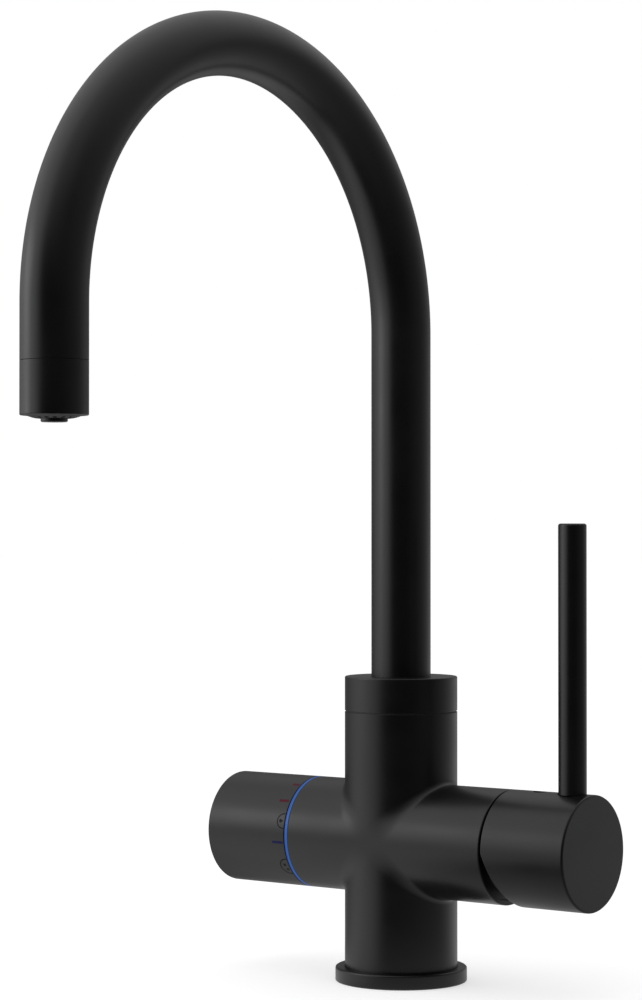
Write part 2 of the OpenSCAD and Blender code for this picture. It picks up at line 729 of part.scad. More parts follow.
module outlet_sleeve() color(coat) at_outlet(outlet_z) difference() {
    turned_rod(tube_r, sleeve_h, edge, edge / 2);
    translate([0, 0, lip_h]) cylinder(r = sleeve_in_r, h = sleeve_h);
    translate([0, 0, -eps]) cylinder(r = lip_r, h = sleeve_h);
}

// Cup of the aerator: its face bulges below the rim, and small jets go through its floor
module aerator_insert() color(rubber) at_outlet(0) difference() {
    rotate_extrude() polygon(concat(
        [
            for (i = [0:crown_steps])
                let(t = i / crown_steps, r = nozzle_r + fit)
                    [r + t * (aerator_face_r - r), outlet_z - aerator_crown * (1 - t * t)]
        ],
        [
            [aerator_face_r, outlet_z + lip_h + fit], [aerator_r, outlet_z + lip_h + fit],
            [aerator_r, aerator_top_z], [aerator_r - aerator_wall, aerator_top_z],
            [aerator_r - aerator_wall, aerator_floor_z], [nozzle_r + fit, aerator_floor_z]
        ]
    ));
    for (i = [0:jet_count - 1]) rotate([0, 0, i * 360 / jet_count])
        translate([jet_circle_r, 0, outlet_z - 3]) cylinder(d = jet_d, h = 6);
}

module aerator_screen() color(steel) at_outlet(screen_z)
    ring(aerator_r - aerator_wall - fit, nozzle_r + fit, screen_t);

module aerator_washer() color(rubber) at_outlet(aerator_top_z)
    ring(aerator_r, aerator_r - aerator_wall, washer_t);

module filter_nozzle() color(coat) at_outlet(outlet_z - nozzle_drop) difference() {
    turned_rod(nozzle_r, nozzle_top_z - outlet_z + nozzle_drop, edge, 0);
    translate([0, 0, -eps]) cylinder(d = nozzle_bore_d, h = nozzle_top_z);
    translate([0, 0, nozzle_seat_z - outlet_z + nozzle_drop]) cylinder(r = inner_r + fit, h = nozzle_top_z);
}

// The three ports of the cartridge: hot, cold and mixed
module at_cartridge_ports(x) {
    on_right_arm(x) {
        translate([-mixed_port_rise, 0, 0]) children();
        for (s = [-1, 1]) translate([mains_port_drop, s * mains_port_y, 0]) children();
    }
}

module cartridge_base() color(acetal) difference() {
    on_right_arm(cartridge_seat) cylinder(r = cartridge_r, h = cartridge_base_t);
    at_cartridge_ports(cartridge_seat - 1) cylinder(r = port_r, h = cartridge_base_t + 2);
    at_cartridge_ports(cartridge_seat - 1) ring(port_r + 2, port_r - 1, 2.6);
}

module cartridge_seals() color(rubber) at_cartridge_ports(cartridge_seat + 0.8) o_ring(port_r + 1.1, 1.6);

module fixed_disc() color(ceramic) difference() {
    on_right_arm(fixed_disc_x) cylinder(r = fixed_disc_r, h = disc_t);
    at_cartridge_ports(fixed_disc_x - 1) cylinder(r = port_r, h = disc_t + 2);
}

module moving_disc() color(ceramic) on_right_arm(moving_disc_x) translate([disc_low, 0, 0]) difference() {
    cylinder(r = disc_r, h = disc_t);
    translate([-2.6, 0, -eps]) cylinder(r = 5.6, h = 2.2);
}

// Slides in the turret's fork and holds the stem's ball in a round socket
module disc_carrier() color(acetal) on_right_arm(carrier_x) difference() {
    intersection() {
        translate([disc_low, 0, 0]) cylinder(r = disc_r, h = carrier_t);
        translate([-2 * disc_r, -carrier_half_w, -eps])
            cube([4 * disc_r, 2 * carrier_half_w, carrier_t + 1]);
    }
    translate([0, 0, -eps]) cylinder(r = stem_ball_r + free_gap, h = carrier_t + 1);
}

module cartridge_case() color(acetal) on_right_arm(fixed_disc_x) difference() {
    union() {
        cylinder(r = cartridge_r, h = case_shoulder_x - fixed_disc_x);
        cylinder(r = case_neck_r, h = case_top_x - fixed_disc_x);
    }
    translate([0, 0, -eps]) cylinder(r = fixed_disc_r + fit, h = disc_t + fit);
    translate([0, 0, -eps]) cylinder(r = case_cavity_r, h = case_roof_x - fixed_disc_x);
    translate([0, 0, -eps]) cylinder(r = turret_r + run_fit, h = case_top_x);
}

// Turns with the lever: its flange is kept under the case's roof and its fork takes the carrier along
module mixer_turret() color(acetal) on_right_arm(0) difference() {
    union() {
        translate([0, 0, turret_flange_x]) cylinder(r = turret_flange_r, h = turret_flange_t);
        translate([0, 0, turret_flange_x]) cylinder(r = turret_r, h = turret_top_x - turret_flange_x);
        difference() {
            translate([0, 0, fork_x]) cylinder(r = turret_flange_r, h = turret_flange_x - fork_x + eps);
            translate([-cartridge_r, -fork_half_w, carrier_x])
                cube([2 * cartridge_r, 2 * fork_half_w, turret_flange_x - carrier_x]);
        }
    }
    translate([-slot_half_h, -slot_half_w, carrier_x])
        cube([2 * slot_half_h, 2 * slot_half_w, turret_top_x]);
    translate([0, cartridge_r, pivot_x]) rotate([90, 0, 0]) cylinder(r = pin_r, h = 2 * cartridge_r);
}

module pivot_pin() color(steel) translate([pivot_x, turret_r - 0.5, arm_z]) rotate([90, 0, 0])
    cylinder(r = pin_r, h = 2 * turret_r - 1);

module mixer_stem() color(steel) on_right_arm(0) difference() {
    union() {
        translate([0, 0, ball_x]) sphere(r = stem_ball_r);
        translate([0, 0, ball_x]) cylinder(r = stem_neck_r, h = stem_root_x - ball_x + eps);
        translate([-stem_half, -stem_half, stem_root_x]) cube([stem_w, stem_w, stem_end_x - stem_root_x]);
    }
    translate([0, stem_w, pivot_x]) rotate([90, 0, 0]) cylinder(r = pin_r + run_fit, h = 2 * stem_w);
}

module retaining_nut() color(brass) on_right_arm(case_shoulder_x) difference() {
    cylinder(r = nut_r - fit, h = nut_l);
    translate([0, 0, -eps]) cylinder(r = case_neck_r + fit, h = nut_l + 1);
    for (i = [0:nut_slots - 1]) rotate([0, 0, 45 + i * 360 / nut_slots])
        translate([case_neck_r - 1, -1.5, nut_l - 2]) cube([nut_r, 3, 3]);
}

// Turned cover that closes the arm's end round the stem. Its rounded shoulder lets the handle tip over it.
module cartridge_cover() color(coat) on_right_arm(0) {
    foot = cover_seat_x + fit;
    shoulder_r = cover_dome_r - cover_shoulder;
    shoulder_x = cover_top_x - cover_shoulder;
    rim = right_arm - edge;
    rotate_extrude() polygon(concat(
        [[cover_in_r, foot], [cover_r, foot], [cover_r, rim], [cover_dome_r, rim]],
        arc_points(shoulder_r, shoulder_x, cover_shoulder, 0, 90, 8),
        [[cover_hole_r, cover_top_x], [cover_hole_r, cover_top_x - cover_wall]],
        arc_points(shoulder_r, shoulder_x, cover_shoulder - cover_wall, 90, 0, 8),
        [[cover_dome_r - cover_wall, foot + cover_flange_t], [cover_in_r, foot + cover_flange_t]]
    ));
}

module mixer_handle() color(coat) difference() {
    on_right_arm(handle_x) turned_rod(body_r, handle_l, edge / 2, end_edge_r);
    on_right_arm(handle_x) rotate([0, -relief_angle, 0])
        translate([0, -body_d, -2 * body_d]) cube([2 * body_d, 2 * body_d, 2 * body_d]);
    on_right_arm(handle_x - 1) cylinder(r = handle_cavity_r, h = handle_floor_x - handle_x + 1);
    difference() {
        on_right_arm(handle_floor_x - eps) ring(handle_cavity_r, hub_r, pocket_end_x - handle_floor_x);
        translate([handle_floor_x, -rib_half_w, arm_z])
            cube([pocket_end_x - handle_floor_x, 2 * rib_half_w, body_r]);
    }
    translate([handle_floor_x - 1, -stem_half - fit, arm_z - stem_half - fit])
        cube([stem_end_x - handle_floor_x + 1.5, stem_w + 2 * fit, stem_w + 2 * fit]);
    translate([handle_screw_x, 0, arm_z]) cylinder(r = handle_screw_r, h = body_r);
    translate([handle_screw_x, 0, plug_z]) cylinder(r = plug_r, h = plug_l + 1);
    translate([lever_x, 0, arm_z + lever_foot_z]) cylinder(r = spotface_r, h = spotface_depth + 1);
    translate([lever_x, 0, arm_z + lever_foot_z - stud_in_handle - 1])
        cylinder(r = lever_stud_r, h = stud_in_handle + 2);
}

module handle_screw() color(steel) translate([handle_screw_x, 0, arm_z + stem_half + fit])
    grub_screw(handle_screw_r, handle_screw_l, handle_screw_r - 1, 1);

module handle_plug() color(black_plastic) translate([handle_screw_x, 0, plug_z])
    turned_rod(plug_r - fit, plug_l, 0, edge / 2);

module lever_stud() color(steel) translate([lever_x, 0, arm_z + lever_foot_z - stud_in_handle])
    cylinder(r = lever_stud_r - fit / 2, h = stud_in_handle + stud_in_rod);

module lever_rod() color(coat) translate([lever_x, 0, arm_z + lever_foot_z]) difference() {
    turned_rod(lever_d / 2, lever_top_z - arm_z - lever_foot_z, edge / 2, lever_edge_r);
    translate([0, 0, -eps]) cylinder(r = lever_stud_r, h = stud_in_rod + 1);
}

// Housing of the selector: fills the left arm, and its neck carries the light ring and the knob
module selector_housing() color(acetal) on_left_arm(0) difference() {
    union() {
        translate([0, 0, selector_seat]) cylinder(r = housing_r, h = housing_end_x - selector_seat);
        translate([0, 0, selector_seat]) cylinder(r = neck_r, h = neck_end_x - selector_seat);
    }
    translate([0, 0, selector_seat - eps]) cylinder(r = spindle_r + run_fit, h = neck_end_x);
    translate([0, 0, selector_seat - eps])
        cylinder(r = flange_r + free_gap, h = flange_x + flange_t + flange_play - selector_seat);
    translate([0, 0, selector_seat - eps]) rotate([0, 0, -knob_angle / 2 - stop_lug_w / 2 - 2])
        rotate_extrude(angle = knob_angle + stop_lug_w + 4)
            translate([spindle_r, 0])
                square([stop_r + free_gap - spindle_r, flange_x + flange_t + 2 * flange_play - selector_seat]);
}

module sensor_board() color(board_green) on_left_arm(selector_seat - board_t)
    cylinder(r = board_r, h = board_t);

module light_board() color(board_green) on_left_arm(light_board_x)
    ring(housing_r, neck_r + fit, board_t);

module light_diodes() color("ivory") on_left_arm(light_board_x + board_t) for (i = [0:led_count - 1])
    rotate([0, 0, i * 360 / led_count]) translate([housing_r - skirt_wall - diode_w / 2, -diode_w / 2, 0])
        cube([diode_w, diode_w, diode_h]);

module light_ring() color(light_blue) on_left_arm(0) {
    translate([0, 0, light_x]) ring(body_r, light_ring_in_r, light_ring_w);
    translate([0, 0, left_arm - light_skirt_l])
        ring(housing_r, selector_bore_r - 2 * skirt_wall, light_skirt_l + fit);
}

module light_ring_seal() color(rubber) on_left_arm(light_x + light_ring_w / 2)
    o_ring(neck_r + ring_seal_d / 2, min(ring_seal_d, light_ring_w));

module knob_bush() color(acetal) on_left_arm(bush_x) ring(bush_r, neck_r + fit, bush_l);

module selector_spindle() color(brass) on_left_arm(0) difference() {
    union() {
        translate([0, 0, flange_x]) cylinder(r = spindle_r, h = spindle_end_x - flange_x);
        translate([0, 0, flange_x]) cylinder(r = flange_r, h = flange_t);
        translate([0, 0, flange_x]) rotate([0, 0, -stop_lug_w / 2]) rotate_extrude(angle = stop_lug_w)
            translate([spindle_r, 0]) square([stop_r - spindle_r, flange_t]);
        translate([-square_w / 2, -square_w / 2, spindle_end_x - eps])
            cube([square_w, square_w, square_l + eps]);
    }
    translate([0, 0, clip_x]) ring(spindle_r + 1, clip_groove_r, clip_t + fit);
    translate([0, 0, friction_x - friction_d / 2 - fit])
        ring(spindle_r + 1, friction_centre_r - friction_d / 2, friction_d + 2 * fit);
    translate([0, 0, flange_x - eps]) cylinder(r = magnet_r + fit, h = magnet_t + eps);
}

module spindle_clip() color(steel) on_left_arm(clip_x) difference() {
    ring(clip_r, clip_groove_r + fit, clip_t);
    mouth = 0.7 * clip_groove_r;
    translate([-clip_r - 1, -mouth, -eps]) cube([clip_r + 1, 2 * mouth, clip_t + 1]);
}

module friction_ring() color(rubber) on_left_arm(friction_x)
    o_ring(friction_centre_r, friction_d);

module sensor_magnet() color(steel) on_left_arm(flange_x - magnet_proud)
    cylinder(r = magnet_r, h = magnet_t);

// On the left arm, places children with their Z axis along +Y, where the knob's screw is
module at_knob_screw(y) {
    rotate([0, 0, 90]) translate([y, 0, knob_screw_x]) rotate([0, 90, 0]) children();
}

// Hub pressed into the knob: a skirt runs on the bush and a square socket takes the spindle
module knob_hub() color(acetal) on_left_arm(0) difference() {
    socket_w = square_w + 2 * fit;
    union() {
        translate([0, 0, hub_skirt_x])
            cylinder(r = knob_cavity_r - fit, h = hub_flange_x + hub_flange_t - hub_skirt_x);
        translate([0, 0, hub_flange_x]) cylinder(r = hub_core_r, h = square_l + 2);
    }
    translate([0, 0, hub_skirt_x - 1]) cylinder(r = bush_r + run_fit, h = hub_flange_x - hub_skirt_x + 1);
    translate([-socket_w / 2, -socket_w / 2, hub_flange_x - 1]) cube([socket_w, socket_w, square_l + 2]);
    at_knob_screw(knob_cavity_r - 4) cylinder(r = knob_screw_r, h = 5);
}

module knob_screw() color(steel) on_left_arm(0)
    at_knob_screw(knob_cavity_r - 3.5) grub_screw(knob_screw_r, knob_wall + 1.7, knob_screw_r - 0.7, 1);

module selector_knob() color(coat) on_left_arm(0) difference() {
    translate([0, 0, knob_x]) turned_rod(body_r, knob_l, edge / 2, end_edge_r);
    translate([0, 0, knob_x - 1]) cylinder(r = knob_cavity_r, h = knob_l - knob_end_wall + 1);
    at_knob_screw(knob_cavity_r - 1) cylinder(r = knob_screw_r, h = knob_wall + 2);
}

body();
base_ring();
base_seal();
inlet_manifold();
manifold_seals();
manifold_screws();
cable_gland();
swivel_washer();
upper_bush();
lower_bush();
stop_screw();
filter_coupling();
coupling_seal();
spout_collar();
collar_screw();
spout_spigot();
spigot_seals();
spout_tube();
filter_tube();
outlet_insert();
outlet_sleeve();
aerator_insert();
aerator_screen();
aerator_washer();
filter_nozzle();
cartridge_base();
cartridge_seals();
fixed_disc();
cartridge_case();
retaining_nut();
cartridge_cover();
mixer_turret();
pivot_pin();
moving_disc();
disc_carrier();
mixer_stem();
mixer_handle();
handle_screw();
handle_plug();
lever_stud();
lever_rod();
selector_housing();
sensor_board();
light_board();
light_diodes();
light_ring();
light_ring_seal();
knob_bush();
selector_spindle();
spindle_clip();
friction_ring();
sensor_magnet();
knob_hub();
knob_screw();
selector_knob();
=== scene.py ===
"""Looks of a swan-neck kitchen tap for mixed and filtered water.

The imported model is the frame: it says where each piece is and how it moves. This script works out the
shells that show with numpy, gives every piece its finish and sets up a plain studio. Sizes are in
millimetres, which become Blender's metres where a mesh is made.
"""

import logging
import math
from dataclasses import dataclass
from enum import Enum
from functools import cache, cached_property, partialmethod
from typing import Sequence

import bmesh
import bpy
import numpy as np
from bpy.types import ID, Material, Mesh, NodeSocket, Object, World
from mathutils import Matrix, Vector


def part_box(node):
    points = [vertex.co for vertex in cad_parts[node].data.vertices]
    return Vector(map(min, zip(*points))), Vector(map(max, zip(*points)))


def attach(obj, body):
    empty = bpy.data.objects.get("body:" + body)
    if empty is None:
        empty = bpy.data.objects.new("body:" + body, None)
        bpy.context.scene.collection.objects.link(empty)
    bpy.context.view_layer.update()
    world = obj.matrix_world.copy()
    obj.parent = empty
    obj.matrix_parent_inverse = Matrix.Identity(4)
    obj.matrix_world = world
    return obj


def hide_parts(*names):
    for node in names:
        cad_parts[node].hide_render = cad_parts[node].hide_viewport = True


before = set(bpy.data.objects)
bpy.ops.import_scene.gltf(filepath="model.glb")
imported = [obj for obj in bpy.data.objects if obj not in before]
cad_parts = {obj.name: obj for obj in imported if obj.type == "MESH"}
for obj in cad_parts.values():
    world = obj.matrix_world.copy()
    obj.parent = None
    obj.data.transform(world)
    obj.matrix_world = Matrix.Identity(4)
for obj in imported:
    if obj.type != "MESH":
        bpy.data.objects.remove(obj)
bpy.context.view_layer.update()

LOG = logging.getLogger("tap")
MM = 0.001
TAU = 2 * math.pi
FIT = 0.05
BEYOND = 1.0
SUPPORT = 0.25
SUPPORT_SHARE = 0.3
ROUNDING = 1e-6
CREASE = 40
MERGE_WITHIN = 2e-7
LEAST_EDGE = 1e-8
CUTTER_SIDES = 64
Array = np.ndarray
Corners = Sequence[tuple[float, float, float]]
Colour = tuple[float, float, float]
Input = "float | Colour | Value"
Sockets = dict[str, Input]


class Axis(Enum):
    """Axes of turned pieces, each with the side where its angle starts."""

    UP = ((0, 0, 1), (1, 0, 0))
    RIGHT = ((1, 0, 0), (0, -1, 0))
    LEFT = ((-1, 0, 0), (0, -1, 0))
    REAR = ((0, 1, 0), (1, 0, 0))

    def basis(self) -> tuple[Array, Array, Array]:
        """The axis and two unit vectors square to it."""
        along = np.array(self.value[0], float)
        side = np.array(self.value[1], float)
        return along, side, np.cross(along, side)


def node_box(node: str) -> tuple[Array, Array]:
    """Lowest and highest corner of a node of the frame, in millimetres.

    Args:
        node: the node's name.

    Returns:
        The two corners.
    """
    low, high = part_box(node)
    return np.array(low) / MM, np.array(high) / MM


def arm_height() -> float:
    """Height of the arms' axis, which is the middle of the knob."""
    low, high = node_box("selector_knob")
    return (low[2] + high[2]) / 2


def unit(vector: Array) -> Array:
    """The vector at length 1."""
    return vector / np.linalg.norm(vector)


def fillet(before: Array, corner: Array, after: Array, radius: float, steps: int) -> Array:
    """Points of an arc that touches both sides of a corner.

    The arc's centre lies on the corner's bisector, radius / sin(half angle) away, and its points are the
    spherical blend of the two touching directions. One more point on each side keeps flat faces flat.

    Args:
        before: the point before the corner.
        corner: the corner.
        after: the point after the corner.
        radius: radius of the arc.
        steps: number of chords in the arc.

    Returns:
        An array of points, two columns wide.
    """
    to_before, to_after = unit(before - corner), unit(after - corner)
    half = 0.5 * math.acos(float(np.clip(to_before @ to_after, -1, 1)))
    reach = radius / math.tan(half)
    centre = corner + unit(to_before + to_after) * radius / math.sin(half)
    start = corner + to_before * reach - centre
    stop = corner + to_after * reach - centre
    turn = math.pi - 2 * half
    t = np.linspace(0, 1, steps + 1)[:, None]
    arc = centre + (np.sin((1 - t) * turn) * start + np.sin(t * turn) * stop) / math.sin(turn)
    room = min(math.dist(before, corner), math.dist(after, corner)) / 2
    reach += min(SUPPORT, SUPPORT_SHARE * max(room - radius, 0))
    return np.vstack([corner + to_before * reach, arc, corner + to_after * reach])


def rounded(corners: Corners, steps: int = 5) -> Array:
    """Outline through corners. A radius of 0 leaves a corner sharp, as an open outline's ends are.

    Args:
        corners: for each corner its two coordinates and the radius of its arc.
        steps: number of chords in each arc.

    Returns:
        An array of points, two columns wide.
    """
    points = np.array(corners, float)[:, :2]
    neighbours = zip(np.roll(points, 1, axis=0), points, np.roll(points, -1, axis=0), corners)
    return np.vstack([
        fillet(before, point, after, corner[2], steps) if corner[2] > 0 else point
        for before, point, after, corner in neighbours
    ])


def angles(count: int) -> Array:
    """Angles of equal steps round a circle."""
    return np.arange(count) * TAU / count


def turned(
    profile: Array, axis: Axis = Axis.UP, origin: Sequence[float] = (0, 0, 0), segments: int = 128
) -> Array:
    """Grid of a profile turned round an axis.

    The point (radius, height) at angle t lies at origin + radius (cos t side + sin t other) + height axis.

    Args:
        profile: radius and height of each point.
        axis: direction of the axis.
        origin: where height is zero.
        segments: number of steps round the axis.

    Returns:
        An array of profile points by segments by 3.
    """
    along, side, other = axis.basis()
    t = angles(segments)[:, None]
    radius, height = profile.T[:, :, None, None]
    return origin + radius * (np.cos(t) * side + np.sin(t) * other) + height * along


@dataclass
class Patch:
    """A grid of points, in millimetres, and how its rows and columns close."""

    points: Array
    wrap_rows: bool = False
    wrap_columns: bool = True
    material: int = 0

    def quads(self) -> Array:
        """Corner numbers of the grid's quads. The points are numbered row by row."""
        rows, columns = self.points.shape[:2]
        i = np.arange(rows if self.wrap_rows else rows - 1)
        j = np.arange(columns if self.wrap_columns else columns - 1)
        i, j = np.meshgrid(i, j, indexing="ij")
        i_next, j_next = (i + 1) % rows, (j + 1) % columns
        corners = (i * columns + j, i_next * columns + j, i_next * columns + j_next, i * columns + j_next)
        return np.stack(corners, axis=-1).reshape(-1, 4)


def capped(sections: Array) -> Array:
    """Sections whose first one is closed by its middle. The last one, too small to show, stays open."""
    middle = sections[:1].mean(axis=1, keepdims=True).repeat(sections.shape[1], axis=1)
    return np.concatenate([middle, sections])


def tidy(mesh: Mesh, crease: float) -> None:
    """Merges doubled points, turns faces outwards and keeps edges sharper than the crease angle sharp.

    Args:
        mesh: the mesh to tidy.
        crease: angle in degrees.
    """
    work = bmesh.new()
    work.from_mesh(mesh)
    bmesh.ops.remove_doubles(work, verts=work.verts, dist=MERGE_WITHIN)
    bmesh.ops.dissolve_degenerate(work, edges=work.edges, dist=LEAST_EDGE)
    bmesh.ops.recalc_face_normals(work, faces=work.faces)
    work.to_mesh(mesh)
    work.free()
    mesh.shade_smooth()
    mesh.set_sharp_from_angle(angle=math.radians(crease))


def add(name: str, data: ID) -> Object:
    """Puts a new object with this data into the scene."""
    made = bpy.data.objects.new(name, data)
    bpy.context.scene.collection.objects.link(made)
    return made


def build(name: str, patches: Sequence[Patch], crease: float = CREASE) -> Object:
    """Makes one object of one or more patches.

    Args:
        name: the object's name.
        patches: the surfaces that form it.
        crease: angle in degrees above which an edge stays sharp.

    Returns:
        The object, at the origin.
    """
    points, faces, materials, first = [], [], [], 0
    for patch in patches:
        quads = patch.quads()
        points.append(patch.points.reshape(-1, 3) * MM)
        faces.append(quads + first)
        materials.append(np.full(len(quads), patch.material))
        first += len(points[-1])
    mesh = bpy.data.meshes.new(name)
    mesh.from_pydata(np.vstack(points).tolist(), [], np.vstack(faces).tolist())
    mesh.polygons.foreach_set("material_index", np.concatenate(materials))
    tidy(mesh, crease)
    return add(name, mesh)


def lathe(name: str, corners: Corners, steps: int = 5, **turning: Axis | Sequence[float] | int) -> Object:
    """Makes a turned piece. Its outline is closed unless it starts on the axis.

    Args:
        name: the piece's name.
        corners: radius and height of each corner, and the radius of its arc.
        steps: number of chords in each arc.
        turning: axis, origin and segments, as for turned.

    Returns:
        The piece.
    """
    grid = turned(rounded(corners, steps), **turning)
    return build(name, [Patch(grid, wrap_rows=corners[0][0] > 0)])


def drill(piece: Object, axis: Axis, *holes: tuple[Sequence[float], float, float, float]) -> None:
    """Cuts round holes out of a piece.

    Args:
        piece: the piece that is cut.
        axis: direction of the holes.
        holes: for each a point on its axis, its radius, and where it starts and ends from that point.
    """
    cutters = []
    for origin, radius, low, high in holes:
        bar = np.array([(0, low), (radius, low), (radius, high), (0, high)])
        cutters.append(build("cutter", [Patch(turned(bar, axis, origin, CUTTER_SIDES))]))
        modifier = piece.modifiers.new("cut", "BOOLEAN")
        modifier.operation = "DIFFERENCE"
        modifier.solver = "EXACT"
        modifier.object = cutters[-1]
    shaped = piece.evaluated_get(bpy.context.evaluated_depsgraph_get())
    mesh = bpy.data.meshes.new_from_object(shaped)
    piece.modifiers.clear()
    piece.data = mesh
    mesh.name = piece.name
    tidy(mesh, CREASE)
    for cutter in cutters:
        bpy.data.objects.remove(cutter)


@dataclass
class Value:
    """A number that the shader works out. Python's operators on it add Math nodes."""

    graph: "Graph"
    socket: NodeSocket

    def math(self, operation: str, *others: "float | Value") -> "Value":
        """A Math node whose first input is this number."""
        sockets = dict(enumerate((self, *others)))
        return self.graph.node("ShaderNodeMath", sockets, operation=operation)

    __add__ = partialmethod(math, "ADD")
    __sub__ = partialmethod(math, "SUBTRACT")
    __mul__ = partialmethod(math, "MULTIPLY")
    __truediv__ = partialmethod(math, "DIVIDE")
    __abs__ = partialmethod(math, "ABSOLUTE")
    sine = partialmethod(math, "SINE")
    larger = partialmethod(math, "MAXIMUM")

    def ramp(self, low: float, high: float, start: float = 0.0, stop: float = 1.0) -> "Value":
        """Goes smoothly from start at low to stop at high."""
        sockets = {"Value": self, "From Min": low, "From Max": high, "To Min": start, "To Max": stop}
        return self.graph.node("ShaderNodeMapRange", sockets, interpolation_type="SMOOTHSTEP")


class Graph:
    """The node tree of a material or of the world."""

    def __init__(self, owner: Material | World) -> None:
        """Takes hold of the owner's nodes."""
        owner.use_nodes = True
        self.owner = owner
        self.tree = owner.node_tree

    def node(self, kind: str, inputs: dict, output: int | str = 0, **settings: str) -> Value:
        """Adds a node.

        Args:
            kind: the node's type.
            inputs: numbers, colours or Values of its sockets, by name or number.
            output: name or number of the output that is wanted.
            settings: its properties, which are set first.

        Returns:
            That output.
        """
        made = self.tree.nodes.new(kind)
        for key, value in settings.items():
            setattr(made, key, value)
        for key, value in inputs.items():
            self.feed(made.inputs[key], value)
        return Value(self, made.outputs[output])

    def feed(self, socket: NodeSocket, value: Input) -> None:
        """Sets a socket to a number or colour, or links a Value to it."""
        if isinstance(value, Value):
            self.tree.links.new(value.socket, socket)
        else:
            socket.default_value = (*value, 1.0) if socket.type == "RGBA" else value

    def set(self, **inputs: Input) -> None:
        """Feeds sockets of the Principled shader: base_color feeds Base Color, and so on."""
        shader = self.tree.nodes["Principled BSDF"]
        for key, value in inputs.items():
            self.feed(shader.inputs[key.replace("_", " ").title().replace("Ior", "IOR")], value)

    @cached_property
    def place(self) -> Value:
        """The object's own coordinates."""
        return self.node("ShaderNodeTexCoord", {}, "Object")

    def axis(self, number: int) -> Value:
        """One of the object's own coordinates."""
        return self.node("ShaderNodeSeparateXYZ", {"Vector": self.place}, number)

    def noise(
        self, scale: float, detail: float = 2, rough: float = 0.5, place: Value | None = None
    ) -> Value:
        """Soft noise from 0 to 1, with scale features to the metre."""
        sockets = {"Vector": place or self.place, "Scale": scale, "Detail": detail, "Roughness": rough}
        return self.node("ShaderNodeTexNoise", sockets, "Fac")

    def cells(self, scale: float, **settings: str) -> Value:
        """Distance to the nearest of many scattered points, scale of them to the metre."""
        sockets = {"Vector": self.place, "Scale": scale}
        return self.node("ShaderNodeTexVoronoi", sockets, "Distance", **settings)

    def mix(self, factor: Input, first: Input, second: Input) -> Value:
        """Blends two colours."""
        return self.node("ShaderNodeMix", {0: factor, 6: first, 7: second}, 2, data_type="RGBA")

    def bump(self, height: Value, distance: float) -> Value:
        """A normal that is bent by a height; distance is in metres."""
        return self.node("ShaderNodeBump", {"Height": height, "Distance": distance})


def shade(colour: Colour, factor: float) -> Colour:
    """A colour made lighter or darker."""
    return tuple(min(1.0, c * factor) for c in colour)


class Finish:
    """A kind of surface. Each kind says what its Principled shader is fed."""

    def sockets(self, g: Graph) -> Sockets:
        """Adds the kind's nodes.

        Args:
            g: the material's graph.

        Returns:
            What feeds each socket, named as in Graph.set.
        """
        raise NotImplementedError

    @cache
    def material(self) -> Material:
        """The finish's material, made once."""
        g = Graph(bpy.data.materials.new(self.name))
        g.set(**self.sockets(g))
        return g.owner


@dataclass(frozen=True)
class MatteCoat(Finish):
    """Stoved matte coating: a fine orange peel and slight clouds in gloss and tone."""

    name: str = "matte_black_coat"
    colour: Colour = (0.003, 0.003, 0.0032)
    roughness: float = 0.33
    specular: float = 0.6
    peel: float = 0.0000035

    def sockets(self, g: Graph) -> Sockets:
        """Adds the nodes."""
        clouds = g.noise(55, 3)
        fine = g.noise(1400, 2, 0.6)
        grain = g.noise(5200, 1)
        tone = clouds.ramp(0.3, 0.7, 0.0, 0.5) + fine.ramp(0.35, 0.65, 0.0, 0.5)
        soft = clouds.ramp(0.3, 0.7, self.roughness - 0.025, self.roughness + 0.025)
        return dict(
            base_color=g.mix(tone, shade(self.colour, 0.88), shade(self.colour, 1.12)),
            roughness=soft + (grain - 0.5) * 0.03,
            specular_ior_level=self.specular,
            normal=g.bump(fine + grain * 0.35, self.peel),
        )


@dataclass(frozen=True)
class TurnedMetal(Finish):
    """Bare metal off the lathe: rings across the axis, fine scratches and a breath of oxide."""

    name: str
    colour: Colour
    axis: int = 2
    roughness: float = 0.26
    pitch: float = 0.00018

    def sockets(self, g: Graph) -> Sockets:
        """Adds the nodes."""
        along = g.axis(self.axis)
        clouds = g.noise(90, 3)
        grooves = (along * (TAU / self.pitch) + clouds * 6).sine()
        scale = tuple(6.0 if i == self.axis else 0.6 for i in range(3))
        stretched = g.node("ShaderNodeMapping", {"Vector": g.place, "Scale": scale})
        streaks = g.noise(900, place=stretched)
        return dict(
            base_color=g.mix(clouds.ramp(0.3, 0.75), self.colour, shade(self.colour, 0.82)),
            metallic=1.0,
            roughness=streaks.ramp(0.25, 0.75, self.roughness - 0.06, self.roughness + 0.09),
            normal=g.bump(grooves * 0.5 + streaks, 0.000004),
        )


@dataclass(frozen=True)
class Moulded(Finish):
    """Moulded plastic or rubber: a faint spark-eroded grain and a little change of tone."""

    name: str
    colour: Colour
    roughness: float = 0.45
    grain: float = 0.000006
    scale: float = 1600
    sheen: float = 0.0

    def sockets(self, g: Graph) -> Sockets:
        """Adds the nodes."""
        clouds = g.noise(70)
        grain = g.noise(self.scale, 2, 0.65)
        return dict(
            base_color=g.mix(clouds.ramp(0.3, 0.7), shade(self.colour, 0.9), shade(self.colour, 1.08)),
            roughness=grain.ramp(0.3, 0.7, self.roughness - 0.05, self.roughness + 0.06),
            sheen_weight=self.sheen,
            normal=g.bump(grain, self.grain),
        )


